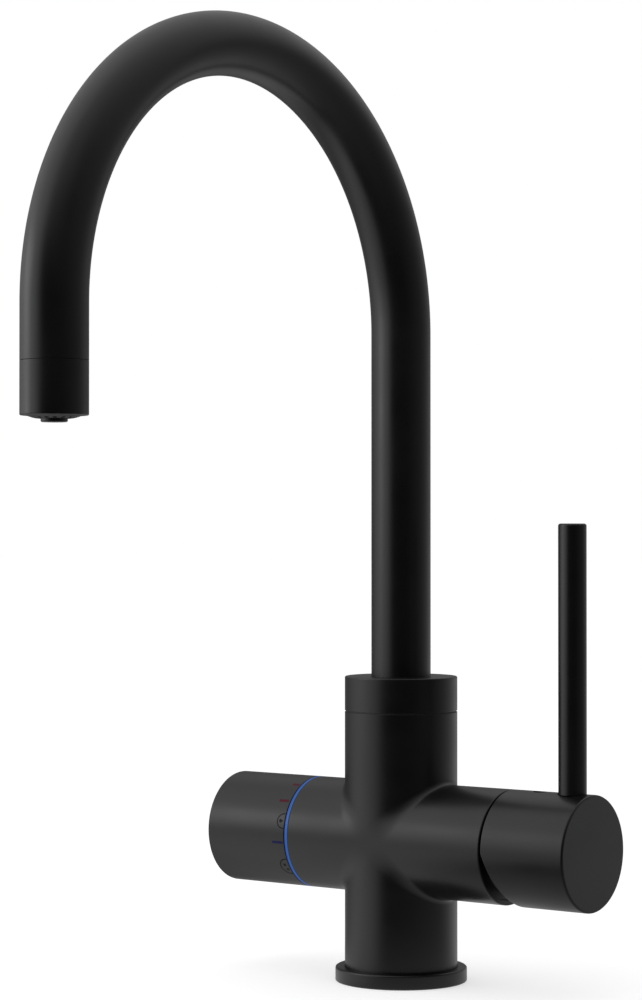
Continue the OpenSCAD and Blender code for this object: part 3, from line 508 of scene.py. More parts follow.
@dataclass(frozen=True)
class LappedCeramic(Finish):
    """Lapped alumina: ivory, nearly smooth, with pores whose colour is painted darker as painted shade in
    their hollows.
    """

    name: str = "lapped_ceramic"
    colour: Colour = (0.86, 0.83, 0.76)

    def sockets(self, g: Graph) -> Sockets:
        """Adds the nodes."""
        pores = g.cells(1500).ramp(0.08, 0.2)
        return dict(
            # painted shade: the pores are painted darker than the ivory
            base_color=g.mix(pores, shade(self.colour, 0.7), self.colour),
            roughness=g.noise(300).ramp(0.3, 0.7, 0.16, 0.26),
            coat_weight=0.2,
            normal=g.bump(pores, 0.000005),
        )


@dataclass(frozen=True)
class CircuitBoard(Finish):
    """Green solder mask over square copper tracks, with tinned pads."""

    name: str = "circuit_board"
    mask: Colour = (0.012, 0.11, 0.045)
    track: Colour = (0.03, 0.2, 0.07)
    tin: Colour = (0.75, 0.74, 0.7)

    def sockets(self, g: Graph) -> Sockets:
        """Adds the nodes."""
        near = g.cells(420, distance="MANHATTAN")
        tracks = abs(near - 0.42).ramp(0.03, 0.06, 1.0, 0.0)
        pads = near.ramp(0.1, 0.14, 1.0, 0.0)
        return dict(
            base_color=g.mix(pads, g.mix(tracks, self.mask, self.track), self.tin),
            metallic=pads,
            roughness=0.32,
            normal=g.bump(tracks + pads, 0.00002),
        )


@dataclass(frozen=True)
class LitGuide(Finish):
    """Clear light guide lit from inside: azure, with a deeper blue along its outer edge."""

    name: str
    left: float
    right: float
    bright: Colour = (0.01, 0.068, 0.26)
    deep: Colour = (0.005, 0.028, 0.16)
    strength: float = 0.5

    def sockets(self, g: Graph) -> Sockets:
        """Adds the nodes; left and right are the ring's two faces, in millimetres along X."""
        across = (g.axis(0) - self.left * MM) / ((self.right - self.left) * MM)
        glow = across.ramp(0.0, 0.55) * g.noise(200).ramp(0.2, 0.8, 0.92, 1.0)
        colour = g.mix(glow, self.deep, self.bright)
        lit = dict(emission_color=colour, emission_strength=self.strength)
        return dict(base_color=colour, roughness=0.35, **lit)


@dataclass(frozen=True)
class Print(Finish):
    """Thin ink of one colour, a little uneven."""

    name: str
    colour: Colour
    specular: float = 0.15

    def sockets(self, g: Graph) -> Sockets:
        """Adds the nodes."""
        ink = g.noise(2600)
        return dict(
            base_color=g.mix(ink.ramp(0.3, 0.7), shade(self.colour, 0.8), self.colour),
            roughness=ink.ramp(0.3, 0.7, 0.4, 0.5),
            specular_ior_level=self.specular,
            normal=g.bump(ink, 0.000003),
        )


BRASS_COLOUR = (0.72, 0.5, 0.21)
STEEL_COLOUR = (0.6, 0.6, 0.61)
COAT = MatteCoat()
BRASS = TurnedMetal("turned_brass_upright", BRASS_COLOUR)
BLACK_PLASTIC = Moulded("black_plastic", (0.014, 0.014, 0.015), 0.5)
RUBBER = Moulded("black_rubber", (0.018, 0.018, 0.019), 0.62, 0.00001, 2400, 0.15)
ACETAL = Moulded("natural_acetal", (0.78, 0.77, 0.72), 0.38)
DIODE = Moulded("diode_body", (0.8, 0.76, 0.6), 0.25)
RED_INK = Print("red_ink", (0.1, 0.007, 0.022))
BLUE_INK = Print("blue_ink", (0.01, 0.01, 0.085))
DARK_INK = Print("dark_ink", (0.008, 0.006, 0.01))


def dress(piece: Object, *finishes: Finish) -> Object:
    """Gives a piece its finishes.

    Args:
        piece: the piece.
        finishes: one for each material number of its patches.

    Returns:
        The piece.
    """
    for finish in finishes:
        piece.data.materials.append(finish.material())
    return piece


def put(piece: Object, body: str, slot: str, *replaced: str) -> None:
    """Lets a finished piece ride on its body, hides the nodes that it stands for, and logs it.

    Args:
        piece: the piece.
        body: the body that it moves with.
        slot: the record's material slot; it is not used.
        replaced: nodes that it stands for.
    """
    if replaced:
        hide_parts(*replaced)
    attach(piece, body)
    LOG.info("%s: %d faces, rides on %s", piece.name, len(piece.data.polygons), body)


@dataclass
class Column:
    """The cast body with its two arms, and the ring at its foot."""

    radius: float
    arm_z: float
    foot_z: float
    top_z: float
    right_x: float
    left_x: float
    blend: float = 2.5
    blend_front: float = 7.0
    blend_onset: float = 4.0
    edge: float = 0.5
    seam_edge: float = 0.1
    mouth: float = 0.12
    shoulder: float = 2.0
    cartridge_bore: tuple = ((17.6, 20), (17.6, 42.5), (19, 42.5), (19, 49), (21.5, 49))
    manifold_bore: float = 20.45
    manifold_z: float = 24.0
    seal_groove: tuple = (24.2, 25.9, 1.6)
    swivel_bore: float = 17.0
    swivel_z: float = 80.0
    selector_bore: float = 19.5
    selector_x: float = 22.0
    stop_screw_z: float = 105.65
    stop_screw_r: float = 2.5
    turn_steps: int = 96
    straight_steps: int = 10
    blend_steps: int = 16

    @classmethod
    def from_frame(cls) -> "Column":
        """Reads the frame's sizes."""
        low, high = node_box("body")
        ring_low, ring_high = node_box("spout_collar")
        return cls(
            radius=(ring_high[0] - ring_low[0]) / 2,
            arm_z=arm_height(),
            foot_z=low[2],
            top_z=high[2],
            right_x=high[0],
            left_x=-low[0],
        )

    def end(self, stop: float, edge: float, *bore: tuple[float, float]) -> Array:
        """The end of a round bar: its bore from the floor's middle, then over the rim to the bar's side.

        Args:
            stop: distance of the end from the crossing.
            edge: radius of the end's outer edge.
            bore: corners of the bore, from its floor: radius and distance from the crossing.

        Returns:
            An array of points, two columns wide.
        """
        return rounded([
            (0, bore[0][1], 0), *((*corner, 0) for corner in bore), (bore[-1][0], stop, self.mouth),
            (self.radius, stop, edge), (self.radius, stop - self.shoulder, 0),
        ])

    def quadrant(self, arm: Array, leg: Array, side: int, up: int) -> Array:
        """One of the four surfaces that meet along the middle lines of column and arms.

        A slice at depth y = r sin a cuts arm and column at half-width w = r cos a. Its inner corner is an
        arc of radius b round (w + b, w + b), and b grows towards front and rear with a power of sin a. At
        the very front w is zero, and a flat of four hollow sides is left between the arcs.

        Args:
            arm: profile of the arm's end, radius and distance from the column's axis.
            leg: profile of the column's end, radius and distance from the arms' axis.
            side: 1 for the right arm, -1 for the left.
            up: 1 for the column's top, -1 for its foot.

        Returns:
            A grid of slices by outline points by 3.
        """
        a = np.linspace(-math.pi / 2, math.pi / 2, self.turn_steps + 1)[:, None]
        cos, sin = np.cos(a), np.sin(a)
        bend = self.blend + (self.blend_front - self.blend) * np.abs(sin) ** self.blend_onset
        width = self.radius * cos
        corner = width + bend
        t = np.linspace(0, 1, self.straight_steps + 1)[None, 1:]
        turn = np.linspace(0, math.pi / 2, self.blend_steps + 1)[None, 1:-1]
        along_arm = arm[-1, 1] * (1 - t) + corner * t
        along_leg = corner * t[:, ::-1] + leg[-1, 1] * (1 - t[:, ::-1])
        bend_x = corner - bend * np.sin(turn)
        bend_z = corner - bend * np.cos(turn)
        ones = np.ones_like(t)
        (arm_r, arm_x), (leg_r, leg_z) = arm.T[:, None], leg[::-1].T[:, None]
        x = np.hstack([arm_x + 0 * cos, along_arm, bend_x, width * ones, cos * leg_r])
        z = np.hstack([cos * arm_r, width * ones, bend_z, along_leg, leg_z + 0 * cos])
        y = sin * np.hstack([arm_r, np.full((1, 2 * t.size + turn.size), self.radius), leg_r])
        return np.stack([side * x, y, self.arm_z + up * z], axis=-1)

    def flats(self, quadrant: Array) -> list[Patch]:
        """A quadrant's shares of the flats at the very front and rear: fans from the middle to its arcs.

        Args:
            quadrant: the quadrant's grid.

        Returns:
            The two fans.
        """
        fans = []
        for row, depth in zip(quadrant[[0, -1]], (-self.radius, self.radius)):
            middle = np.array([0, depth, self.arm_z])
            rim = row[np.abs(row[:, 1] - depth) < ROUNDING]
            rim = rim[np.abs(rim - middle).max(axis=1) <= self.blend_front + ROUNDING]
            fans.append(Patch(np.stack([np.broadcast_to(middle, rim.shape), rim]), wrap_columns=False))
        return fans

    def make_body(self) -> None:
        """The casting as one closed surface, with the stop screw's hole at its rear."""
        swivel = (self.swivel_bore, self.swivel_z - self.arm_z)
        manifold = (self.manifold_bore, self.arm_z - self.manifold_z)
        arms = {
            1: self.end(self.right_x, self.edge, *self.cartridge_bore),
            -1: self.end(self.left_x, self.edge, (self.selector_bore, self.selector_x)),
        }
        legs = {
            1: self.end(self.top_z - self.arm_z, self.seam_edge, swivel),
            -1: self.end(self.arm_z - self.foot_z, self.edge, manifold),
        }
        patches = []
        for side in (1, -1):
            for up in (1, -1):
                grid = self.quadrant(arms[side], legs[up], side, up)
                patches += [Patch(grid, wrap_columns=False), *self.flats(grid)]
        piece = build("cast_body", patches)
        middle = (0, 0, self.stop_screw_z)
        drill(piece, Axis.REAR, (middle, self.stop_screw_r, self.swivel_bore - BEYOND, self.radius + BEYOND))
        put(dress(piece, COAT), "tap_body", "black_coat", "body")

    def make_ring(self) -> None:
        """The ring at the foot, with its rounded upper edge and the groove of its seal."""
        low, high = node_box("base_ring")
        outer, inner = (high[0] - low[0]) / 2, self.manifold_bore
        groove_in, groove_out, depth = self.seal_groove
        seat = self.radius + FIT
        piece = lathe("foot_ring", [
            (inner, 0, 0.2), (groove_in, 0, 0.1), (groove_in, depth, 0), (groove_out, depth, 0),
            (groove_out, 0, 0.1), (outer, 0, 0.4), (outer, high[2], 0.8), (seat, high[2], 0.25),
            (seat, self.foot_z, 0), (inner, self.foot_z, 0),
        ])
        put(dress(piece, COAT), "tap_body", "black_coat", "base_ring")

    def make(self) -> None:
        """Makes both pieces."""
        self.make_body()
        self.make_ring()


@dataclass
class Spout:
    """The swivel collar, the swan neck and its outlet."""

    radius: float
    reach: float
    foot_z: float
    arch_z: float
    end_z: float
    rim_z: float
    sleeve_z: float
    collar_bore: float = 15.05
    collar_neck: float = 12.55
    collar_roof: float = 2.8
    collar_edge: float = 0.5
    collar_seam_edge: float = 0.1
    screw_rise: float = 5.5
    screw_r: float = 2.0
    wall: float = 1.5
    seam: float = 0.18
    lip: float = 10.3
    ledge: float = 1.0
    nozzle_bore: float = 2.6
    nozzle_seat: tuple = (4.05, 5.5)
    arch_steps: int = 160
    ring_steps: int = 96

    @classmethod
    def from_frame(cls) -> "Spout":
        """Reads the frame's sizes; the arch is half round, so its height follows from its reach."""
        low, high = node_box("spout_tube")
        sleeve_low, sleeve_high = node_box("outlet_sleeve")
        radius = (high[0] - low[0]) / 2
        reach = high[1] - low[1] - 2 * radius
        return cls(
            radius=radius,
            reach=reach,
            foot_z=low[2],
            arch_z=high[2] - radius - reach / 2,
            end_z=sleeve_high[2] + cls.seam,
            rim_z=sleeve_low[2],
            sleeve_z=sleeve_high[2],
        )

    def make_collar(self) -> None:
        """The collar on top of the column, with the hole of its screw at the rear."""
        low, high = node_box("spout_collar")
        outer, under = (high[0] - low[0]) / 2, high[2] - self.collar_roof
        piece = lathe("swivel_collar", [
            (self.collar_bore, low[2], 0.1), (outer, low[2], self.collar_seam_edge),
            (outer, high[2], self.collar_edge), (self.collar_neck, high[2], 0.2),
            (self.collar_neck, under, 0), (self.collar_bore, under, 0),
        ])
        middle = (0, 0, low[2] + self.screw_rise)
        drill(piece, Axis.REAR, (middle, self.screw_r, self.collar_bore - BEYOND, outer + BEYOND))
        put(dress(piece, COAT), "spout", "black_coat", "spout_collar")

    def swept(self, radius: float) -> Array:
        """A round tube along riser, half-round arch and outlet leg.

        The path runs straight up, round (y, z) = (-R + R cos t, arch + R sin t) with R = reach / 2, and
        straight down. Each ring lies in the plane of X and the path's own normal.

        Args:
            radius: radius of the tube.

        Returns:
            A grid of rings by points by 3.
        """
        half = self.reach / 2
        t = np.linspace(0, math.pi, self.arch_steps + 1)
        rise = np.array([0, 0.2, 0.6, self.arch_z - self.foot_z - 0.5]) + self.foot_z
        fall = self.end_z + np.array([self.arch_z - self.end_z - 0.5, 0.6, 0.2, 0])
        y = np.concatenate([0 * rise, half * (np.cos(t) - 1), 0 * fall - self.reach])
        z = np.concatenate([rise, self.arch_z + half * np.sin(t), fall])
        t = np.concatenate([0 * rise, t, 0 * fall + math.pi])
        s = angles(self.ring_steps)
        out_y, out_z = np.cos(t)[:, None], np.sin(t)[:, None]
        x = radius * np.cos(s)[None] + 0 * out_y
        across = radius * np.sin(s)[None]
        return np.stack([x, y[:, None] + out_y * across, z[:, None] + out_z * across], axis=-1)

    def make_tube(self) -> None:
        """The bent tube with its wall, as one closed surface."""
        outer, inner = self.swept(self.radius), self.swept(self.radius - self.wall)
        grid = np.concatenate([outer, inner[::-1]])
        piece = build("swan_neck", [Patch(grid, wrap_rows=True)])
        put(dress(piece, COAT), "spout", "black_steel", "spout_tube")

    def make_sleeve(self) -> None:
        """The outlet sleeve below the seam."""
        bore, ledge = self.radius - self.wall - FIT, self.rim_z + self.ledge
        piece = lathe("outlet_rim", [
            (self.lip, self.rim_z, 0.15), (self.radius, self.rim_z, 0.5), (self.radius, self.sleeve_z, 0.06),
            (bore, self.sleeve_z, 0), (bore, ledge, 0), (self.lip, ledge, 0),
        ], origin=(0, -self.reach, 0))
        put(dress(piece, COAT), "spout", "black_coat", "outlet_sleeve")

    def make_nozzle(self) -> None:
        """The nozzle for filtered water in the middle of the outlet."""
        low, high = node_box("filter_nozzle")
        outer, bore = (high[0] - low[0]) / 2, self.nozzle_bore
        seat, step = self.nozzle_seat[0], self.rim_z + self.nozzle_seat[1]
        piece = lathe("centre_nozzle", [
            (bore, low[2], 0.4), (outer, low[2], 0.5), (outer, high[2], 0), (seat, high[2], 0),
            (seat, step, 0), (bore, step, 0),
        ], origin=(0, -self.reach, 0), segments=96)
        put(dress(piece, COAT), "spout", "black_coat", "filter_nozzle")

    def make(self) -> None:
        """Makes the four pieces."""
        self.make_collar()
        self.make_tube()
        self.make_sleeve()
        self.make_nozzle()


@dataclass
class Handle:
    """The mixer's handle, its lever and the cover that shows in the gap."""

    radius: float
    arm_z: float
    low_x: float
    high_x: float
    lever_x: float
    lever_r: float
    lever_foot_z: float
    lever_top_z: float
    cavity: float = 19.3
    cavity_x: float = 66.5
    slant: float = math.tan(math.radians(19.5))
    end_edge: float = 0.8
    rim_edge: float = 0.25
    still_rim: float = 1.0
    still_floor: float = 1.2
    plug_x: float = 69.7
    plug_r: float = 3.0
    plug_depth: float = 3.6
    spot_gap: float = 0.45

    @classmethod
    def from_frame(cls) -> "Handle":
        """Reads the frame's sizes."""
        low, high = node_box("mixer_handle")
        rod_low, rod_high = node_box("lever_rod")
        return cls(
            radius=(high[1] - low[1]) / 2,
            arm_z=arm_height(),
            low_x=low[0],
            high_x=high[0],
            lever_x=(rod_low[0] + rod_high[0]) / 2,
            lever_r=(rod_high[0] - rod_low[0]) / 2,
            lever_foot_z=rod_low[2],
            lever_top_z=rod_high[2],
        )

    def make_handle(self) -> None:
        """The hollow handle. Below its axis the open end leans outwards, so that it can tip.

        A point of the open end is moved out by slant times how far it lies below the axis. The shift fades
        to nothing a little before the rounded end outside and the cavity's floor inside.
        """
        profile = rounded([
            (0, self.cavity_x, 0), (self.cavity, self.cavity_x, 1.0), (self.cavity, self.low_x, 0.2),
            (self.radius, self.low_x, self.rim_edge), (self.radius, self.high_x, self.end_edge),
            (0, self.high_x, 0),
        ])
        grid = turned(profile, Axis.RIGHT, (0, 0, self.arm_z), 192)
        below = np.maximum(self.arm_z - grid[..., 2], 0)
        outside = np.arange(len(profile)) > np.argmax(profile[:, 0] > (self.cavity + self.radius) / 2)
        rim, floor = self.high_x - self.end_edge - self.still_rim, self.cavity_x - self.still_floor
        limit = np.where(outside, rim, floor)[:, None]
        keep = np.clip((limit - grid[..., 0]) / (limit - self.low_x), 0, 1)
        grid[..., 0] += self.slant * below * keep
        piece = build("mixer_handle_shell", [Patch(grid)])
        plug = ((self.plug_x, 0, self.arm_z + self.radius), self.plug_r, -self.plug_depth, 2 * BEYOND)
        spot = ((self.lever_x, 0, self.lever_foot_z), self.lever_r + self.spot_gap, 0, 2 * BEYOND)
        drill(piece, Axis.UP, plug, spot)
        put(dress(piece, COAT), "mixer_lever", "black_coat", "mixer_handle")

    def make_lever(self) -> None:
        """The round lever, its top edge rounded."""
        piece = lathe("lever", [
            (0, self.lever_foot_z, 0), (self.lever_r, self.lever_foot_z, 0.25),
            (self.lever_r, self.lever_top_z, 1.0), (0, self.lever_top_z, 0),
        ], steps=8, origin=(self.lever_x, 0, 0), segments=96)
        put(dress(piece, COAT), "mixer_lever", "black_steel", "lever_rod")

    def make_cover(self) -> None:
        """The domed cover that closes the right arm round the stem."""
        low, high = node_box("cartridge_cover")
        flange, dome, inner, hole, wall = (high[1] - low[1]) / 2, 18.2, 13.7, 11.26, 1.3
        step, floor, bend = low[0] + 5.45, low[0] + 1.4, 5
        piece = lathe("domed_cover", [
            (inner, low[0], 0), (flange, low[0], 0), (flange, step, 0.2), (dome, step, 0.2),
            (dome, high[0], bend), (hole, high[0], 0.3), (hole, high[0] - wall, 0),
            (dome - wall, high[0] - wall, bend - wall), (dome - wall, floor, 0), (inner, floor, 0),
        ], steps=10, axis=Axis.RIGHT, origin=(0, 0, self.arm_z))
        put(dress(piece, COAT), "tap_body", "black_coat", "cartridge_cover")

    def make(self) -> None:
        """Makes the three pieces."""
        self.make_handle()
        self.make_lever()
        self.make_cover()


@dataclass
class Selector:
    """The knob on the left arm with its printed marks, and the ring of light beside it."""

    radius: float
    arm_z: float
    near_x: float
    far_x: float
    cavity: float = 20.2
    end_wall: float = 4.5
    end_edge: float = 0.8
    rim_edge: float = 0.25
    screw_x: float = 54.9
    screw_r: float = 2.0
    ink: float = 0.02
    print_gap: float = 0.1
    print_steps: int = 48
    ring_width: float = 1.5

    @classmethod
    def from_frame(cls) -> "Selector":
        """Reads the frame's sizes."""
        low, high = node_box("selector_knob")
        return cls((high[2] - low[2]) / 2, arm_height(), -high[0], -low[0])

    def make_knob(self) -> None:
        """The hollow knob with its screw's hole at the rear."""
        floor = self.far_x - self.end_wall
        piece = lathe("selector_knob_shell", [
            (0, floor, 0), (self.cavity, floor, 0.5), (self.cavity, self.near_x, 0.2),
            (self.radius, self.near_x, self.rim_edge), (self.radius, self.far_x, self.end_edge),
            (0, self.far_x, 0),
        ], axis=Axis.LEFT, origin=(0, 0, self.arm_z), segments=192)
        middle = (-self.screw_x, 0, self.arm_z)
        drill(piece, Axis.REAR, (middle, self.screw_r, self.cavity - BEYOND, self.radius + BEYOND))
        put(dress(piece, COAT), "knob", "black_coat", "selector_knob")

    def printed(self, u: float, degrees: float, outline: Array, inner: float = 0.0) -> Array:
        """A thin print on the knob's side: its outline and the outline shrunk, each below and above.

        A point y round the knob from the middle stands at the angle middle + y / radius from the front.

        Args:
            u: distance of the middle along the arm, from the column's axis.
            degrees: where the middle lies round the knob, up from the front.
            outline: the outline round its own middle.
            inner: how far it is shrunk, 0 for a filled print.

        Returns:
            A grid of four rows by outline points by 3.
        """
        scale = np.array([inner, 1, 1, inner])[:, None]
        r = self.radius + self.ink * np.array([-1, -1, 1, 1])[:, None]
        x = -u - scale * outline[:, 0]
        turn = math.radians(degrees) + scale * outline[:, 1] / self.radius
        return np.stack([x, -r * np.cos(turn), self.arm_z + r * np.sin(turn)], axis=-1)

    def disc(self, u: float, degrees: float, outline: Array, material: int) -> Patch:
        """A filled print."""
        return Patch(self.printed(u, degrees, outline), material=material)

    def arc(self, u: float, degrees: float, radius: float, line: float, material: int) -> Patch:
        """A printed circle that the knob's rim cuts off.

        The circle u + r cos t, r sin t runs between the two angles at which it meets the rim, where
        cos t = (rim - u) / r.

        Args:
            u: distance of its middle along the arm.
            degrees: where its middle lies round the knob.
            radius: its outer radius.
            line: width of its line.
            material: number of its material.

        Returns:
            The print.
        """
        stop = math.acos((self.near_x + self.rim_edge + self.print_gap - u) / radius)
        t = np.linspace(-stop, stop, self.print_steps + 1)
        circle = radius * np.stack([np.cos(t), np.sin(t)], axis=-1)
        sections = self.printed(u, degrees, circle, 1 - line / radius).swapaxes(0, 1)
        return Patch(capped(sections), material=material)

    def bar(self, length: float, width: float) -> Array:
        """Outline of a tick with round ends: |x / a| ^ 8 + |y / b| ^ 8 = 1."""
        t = angles(self.print_steps)
        x, y = (np.sign(f(t)) * np.abs(f(t)) ** 0.25 for f in (np.cos, np.sin))
        return np.stack([x * length / 2, y * width / 2], axis=-1)

    def drop(self, size: float) -> Array:
        """Outline of a drop: a circle whose radius narrows towards its tip as sin(t / 2) ^ 1.5."""
        t = angles(self.print_steps)
        return np.stack([-size * np.cos(t), size * np.sin(t) * np.sin(t / 2) ** 1.5], axis=-1)

    def make_marks(self) -> None:
        """Plain marks that tell the settings apart: three ticks, and two arcs round a drop or two dots."""
        near, red, blue, dark = self.near_x, 0, 1, 2
        patches = [
            self.disc(near + 2.6, 61, self.bar(3.6, 1.4), red),
            self.disc(near + 3.4, 37.5, self.bar(5.2, 1.2), red),
            self.disc(near + 3.4, -7, self.bar(5.8, 1.1), blue),
            self.arc(near + 0.8, 15.3, 3.4, 0.5, dark),
            self.disc(near + 1.9, 15.3, self.drop(1.1), dark),
            self.arc(near + 0.6, -35, 4.3, 0.55, dark),
            self.disc(near + 2.2, -32.5, self.bar(1.3, 1.3), dark),
            self.disc(near + 1.5, -38.5, self.bar(1.2, 1.2), dark),
        ]
        piece = build("knob_marks", patches)
        put(dress(piece, RED_INK, BLUE_INK, DARK_INK), "knob", "black_coat")

    def make_light(self) -> None:
        """The ring of light, with the skirt that leads the light up from inside the arm."""
        low, high = node_box("light_ring")
        near, far = -high[0], -low[0]
        lip = far - self.ring_width
        core, skirt, skirt_bore = 15.5, 19.45, 15.7
        piece = lathe("glowing_ring", [
            (core, lip, 0), (core, far, 0), (self.radius, far, 0.15), (self.radius, lip, 0.1),
            (skirt, lip, 0), (skirt, near, 0), (skirt_bore, near, 0), (skirt_bore, lip, 0),
        ], axis=Axis.LEFT, origin=(0, 0, self.arm_z), segments=192)
        put(dress(piece, LitGuide("lit_guide", -far, -lip)), "tap_body", "light_guide", "light_ring")

    def make(self) -> None:
        """Makes the pieces of the left arm."""
        self.make_knob()
        self.make_marks()
        self.make_light()


@dataclass
class Underside:
    """Screw threads in the ports and stud holes: angles, radius, pitch and depth of each kind."""

    circle: float = 13.5
    recess: float = 0.6
    turn_steps: int = 48
    section: tuple = ((0.1, -0.45), (-0.5, -0.1), (-0.5, 0.1), (0.1, 0.45))
    ports: tuple = ((60, -60, 120, -120), 3.5, 1.0, 12.0)
    studs: tuple = ((0, 180), 3.4, 1.25, 16.0)

    def thread(self, degrees: float, radius: float, pitch: float, depth: float) -> Patch:
        """A ridge that climbs the wall of one hole.

        The ridge's section is a blunt triangle. At turn t its middle lies pitch * t / 2 pi above the start,
        and its height fades in and out over the first and last turn.

        Args:
            degrees: where the hole lies on its circle.
            radius: radius of the hole.
            pitch: climb of one turn.
            depth: length of the thread.

        Returns:
            The ridge.
        """
        turns = (depth - 2 * pitch) / pitch
        t = np.linspace(0, turns * TAU, int(turns * self.turn_steps) + 1)
        fade = np.clip(np.minimum(t, t[-1] - t) / TAU, 0.02, 1)
        out, up = np.array(self.section).T[:, None]
        r = radius + out * np.where(out < 0, fade[:, None], 1)
        z = self.recess + pitch + (t * pitch / TAU)[:, None] + up * pitch * fade[:, None]
        angle = math.radians(degrees)
        x = self.circle * math.cos(angle) + r * np.cos(t)[:, None]
        y = self.circle * math.sin(angle) + r * np.sin(t)[:, None]
        return Patch(capped(np.stack([x, y, z], axis=-1)))

    def make(self) -> None:
        """Makes the threads of the six holes."""
        kinds = (self.ports, self.studs)
        ridges = [self.thread(angle, *sizes) for angles, *sizes in kinds for angle in angles]
        put(dress(build("port_threads", ridges, crease=60), BRASS), "tap_body", "brass")


class InnerParts:
    """Finishes of the pieces that keep their own shape from the frame."""

    def table(self) -> dict[Finish, Sequence[str]]:
        """Which pieces have each finish."""
        return {
            BRASS: ("inlet_manifold", "spout_spigot", "filter_coupling"),
            TurnedMetal("turned_brass_across", BRASS_COLOUR, axis=0): ("retaining_nut", "selector_spindle"),
            TurnedMetal("turned_steel_upright", STEEL_COLOUR): (
                "manifold_screws", "filter_tube", "aerator_screen", "lever_stud", "handle_screw"),
            TurnedMetal("turned_steel_across", STEEL_COLOUR, axis=0): (
                "mixer_stem", "spindle_clip", "sensor_magnet"),
            TurnedMetal("blackened_steel", (0.05, 0.05, 0.052), axis=1, roughness=0.4): (
                "stop_screw", "collar_screw", "knob_screw", "pivot_pin"),
            ACETAL: (
                "upper_bush", "lower_bush", "cartridge_base", "cartridge_case", "mixer_turret",
                "disc_carrier", "selector_housing", "knob_bush", "knob_hub"),
            LappedCeramic(): ("fixed_disc", "moving_disc"),
            CircuitBoard(): ("sensor_board", "light_board"),
            DIODE: ("light_diodes",),
            BLACK_PLASTIC: ("swivel_washer", "outlet_insert", "aerator_insert", "handle_plug"),
            RUBBER: (
                "base_seal", "manifold_seals", "cable_gland", "coupling_seal", "spigot_seals",
                "aerator_washer", "cartridge_seals", "light_ring_seal", "friction_ring"),
        }

    def make(self) -> None:
        """Dresses each piece."""
        for finish, names in self.table().items():
            for name in names:
                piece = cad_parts[name]
                piece.data.materials.clear()
                dress(piece, finish)
                LOG.info("%s: %s", name, finish.name)


@dataclass
class SoftBox:
    """A lamp that faces the tap. Its azimuth is 0 in front of the tap and 90 to the right."""

    name: str
    azimuth: float
    height: float
    distance: float
    size: tuple[float, float]
    power: float

    def make(self, aim: Sequence[float]) -> None:
        """Makes the lamp, turned to its aim."""
        data = bpy.data.lights.new(self.name, "AREA")
        data.shape = "RECTANGLE"
        data.size, data.size_y = (side * MM for side in self.size)
        data.energy = self.power
        turn = math.radians(self.azimuth)
        place = np.array(aim) + self.distance * np.array([math.sin(turn), -math.cos(turn), 0])
        place[2] = self.height
        lamp = add(self.name, data)
        lamp.location = place * MM
        lamp.rotation_euler = Vector(aim - place).to_track_quat("-Z", "Y").to_euler()


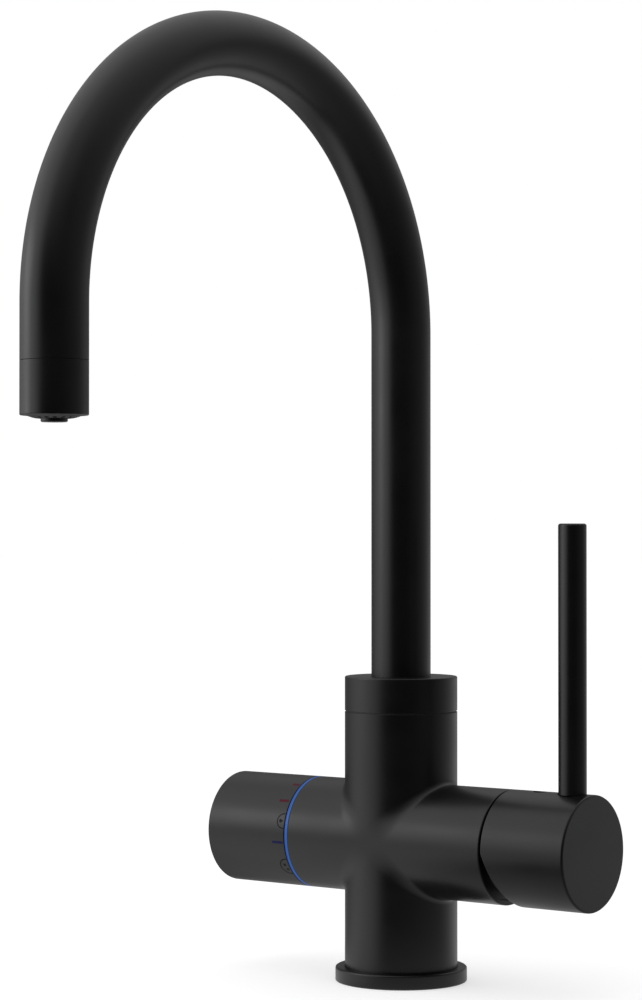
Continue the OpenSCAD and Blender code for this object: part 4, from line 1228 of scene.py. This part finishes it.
@dataclass
class Studio:
    """Camera, pale floor, white surroundings, two soft lamps and the tent that the gloss sees."""

    camera_at: tuple = (667.4, -935.2, 189.7)
    camera_azimuth: float = 37.197
    camera_pitch: float = 0.614
    lens: float = 97.98
    sensor: float = 36.0
    middle: tuple = (0.0, -60.0, 170.0)
    floor_z: float = -0.1
    floor_size: float = 12000.0
    floor_glow: float = 0.54
    light: float = 0.6
    lamps: tuple = (
        SoftBox("left_box", -48, 250, 900, (700, 650), 1.5),
        SoftBox("top_box", -30, 1300, 400, (900, 900), 1.5),
    )
    posts: tuple = (-180, -140, -100, -60, -20, 0, 60, 120, 160)
    tent: tuple = (
        (1, 0.5, (0.6,) * 9),
        (130, 0.5, (0.55, 0.75, 0.15, 0.85, 0.7, 0.0, 0.15, 0.25, 0.65)),
        (950, 0.5, (0.6, 0.2, 0.15, 0.75, 0.3, 0.0, 0.0, 0.15, 0.45)),
        (950, 220, (0.35, 0.15, 0.15, 1.0, 1.0, 0.0, 0.0, 0.15, 0.35)),
        (950, 450, (0.3, 0.2, 0.35, 1.0, 1.0, 0.0, 0.1, 0.15, 0.25)),
        (950, 850, (0.6, 0.5, 0.5, 0.95, 0.9, 0.35, 0.1, 0.3, 0.65)),
        (1, 1350, (0.8,) * 9),
    )
    tent_segments: int = 72

    def make_camera(self) -> None:
        """The camera that was fitted to the photograph. It looks almost level."""
        data = bpy.data.cameras.new("camera")
        data.lens = self.lens
        data.sensor_width = self.sensor
        camera = add("camera", data)
        camera.location = [v * MM for v in self.camera_at]
        camera.rotation_euler = (math.radians(90 + self.camera_pitch), 0, math.radians(self.camera_azimuth))
        bpy.context.scene.camera = camera

    def seen_white(self, g: Graph) -> Value:
        """1 for rays that show the background itself: straight, mirrored or through glass."""
        kinds = ("Is Camera Ray", "Is Glossy Ray", "Is Transmission Ray")
        straight, mirrored, through = (g.node("ShaderNodeLightPath", {}, kind) for kind in kinds)
        return straight.larger(mirrored).larger(through)

    def make_floor(self) -> None:
        """A plain pale floor that shows white and keeps the tap's shadow."""
        corners = self.floor_size * np.array([[(-1, -1, 0), (-1, 1, 0)], [(1, -1, 0), (1, 1, 0)]])
        floor = build("floor", [Patch(corners + (0, 0, self.floor_z), wrap_columns=False)])
        g = Graph(bpy.data.materials.new("pale_floor"))
        g.set(base_color=(0.8, 0.8, 0.8), roughness=0.9, specular_ior_level=0.0)
        g.set(emission_color=(1.0, 1.0, 1.0), emission_strength=self.seen_white(g) * self.floor_glow)
        floor.data.materials.append(g.owner)

    def make_tent(self) -> None:
        """A tent of cloth that only the tap's gloss sees. It gives it dark and pale sides to reflect.

        Each ring of the tent has its radius, its height and the greys of its cloth at the posts, which are
        azimuths in degrees, 0 in front and 90 to the right. Between posts and rings the grey runs straight.
        """
        grid = turned(np.array([ring[:2] for ring in self.tent], float), segments=self.tent_segments)
        azimuth = np.degrees(np.arctan2(grid[-2, :, 0], -grid[-2, :, 1]))
        around = [*self.posts, self.posts[0] + 360]
        greys = np.array([np.interp(azimuth, around, [*ring[2], ring[2][0]]) for ring in self.tent])
        tent = build("tent", [Patch(grid)])
        tent.data.attributes.new("grey", "FLOAT", "POINT").data.foreach_set("value", greys.ravel())
        g = Graph(bpy.data.materials.new("tent_cloth"))
        grey = g.node("ShaderNodeAttribute", {}, "Fac", attribute_name="grey")
        g.set(base_color=(0.0, 0.0, 0.0), specular_ior_level=0.0)
        g.set(emission_color=grey, emission_strength=1.0)
        tent.data.materials.append(g.owner)
        for ray in ("camera", "diffuse", "transmission", "volume_scatter", "shadow"):
            setattr(tent, "visible_" + ray, False)

    def make_world(self) -> None:
        """White where it is seen, and a soft grey light on the object."""
        g = Graph(bpy.data.worlds.new("studio"))
        bpy.context.scene.world = g.owner
        sockets = g.tree.nodes["Background"].inputs
        g.feed(sockets["Color"], (1.0, 1.0, 1.0))
        g.feed(sockets["Strength"], self.seen_white(g).ramp(0, 1, self.light, 1.0))

    def make(self) -> None:
        """Sets up the studio."""
        self.make_camera()
        self.make_floor()
        self.make_tent()
        self.make_world()
        for lamp in self.lamps:
            lamp.make(self.middle)
        bpy.context.scene.view_settings.view_transform = "Standard"


def main() -> None:
    """Builds the tap and the studio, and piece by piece."""
    logging.basicConfig(level=logging.INFO, format="%(name)s %(message)s")
    Studio().make()
    for part in (Column, Spout, Handle, Selector):
        part.from_frame().make()
    Underside().make()
    InnerParts().make()


if __name__ == "__main__":
    main()
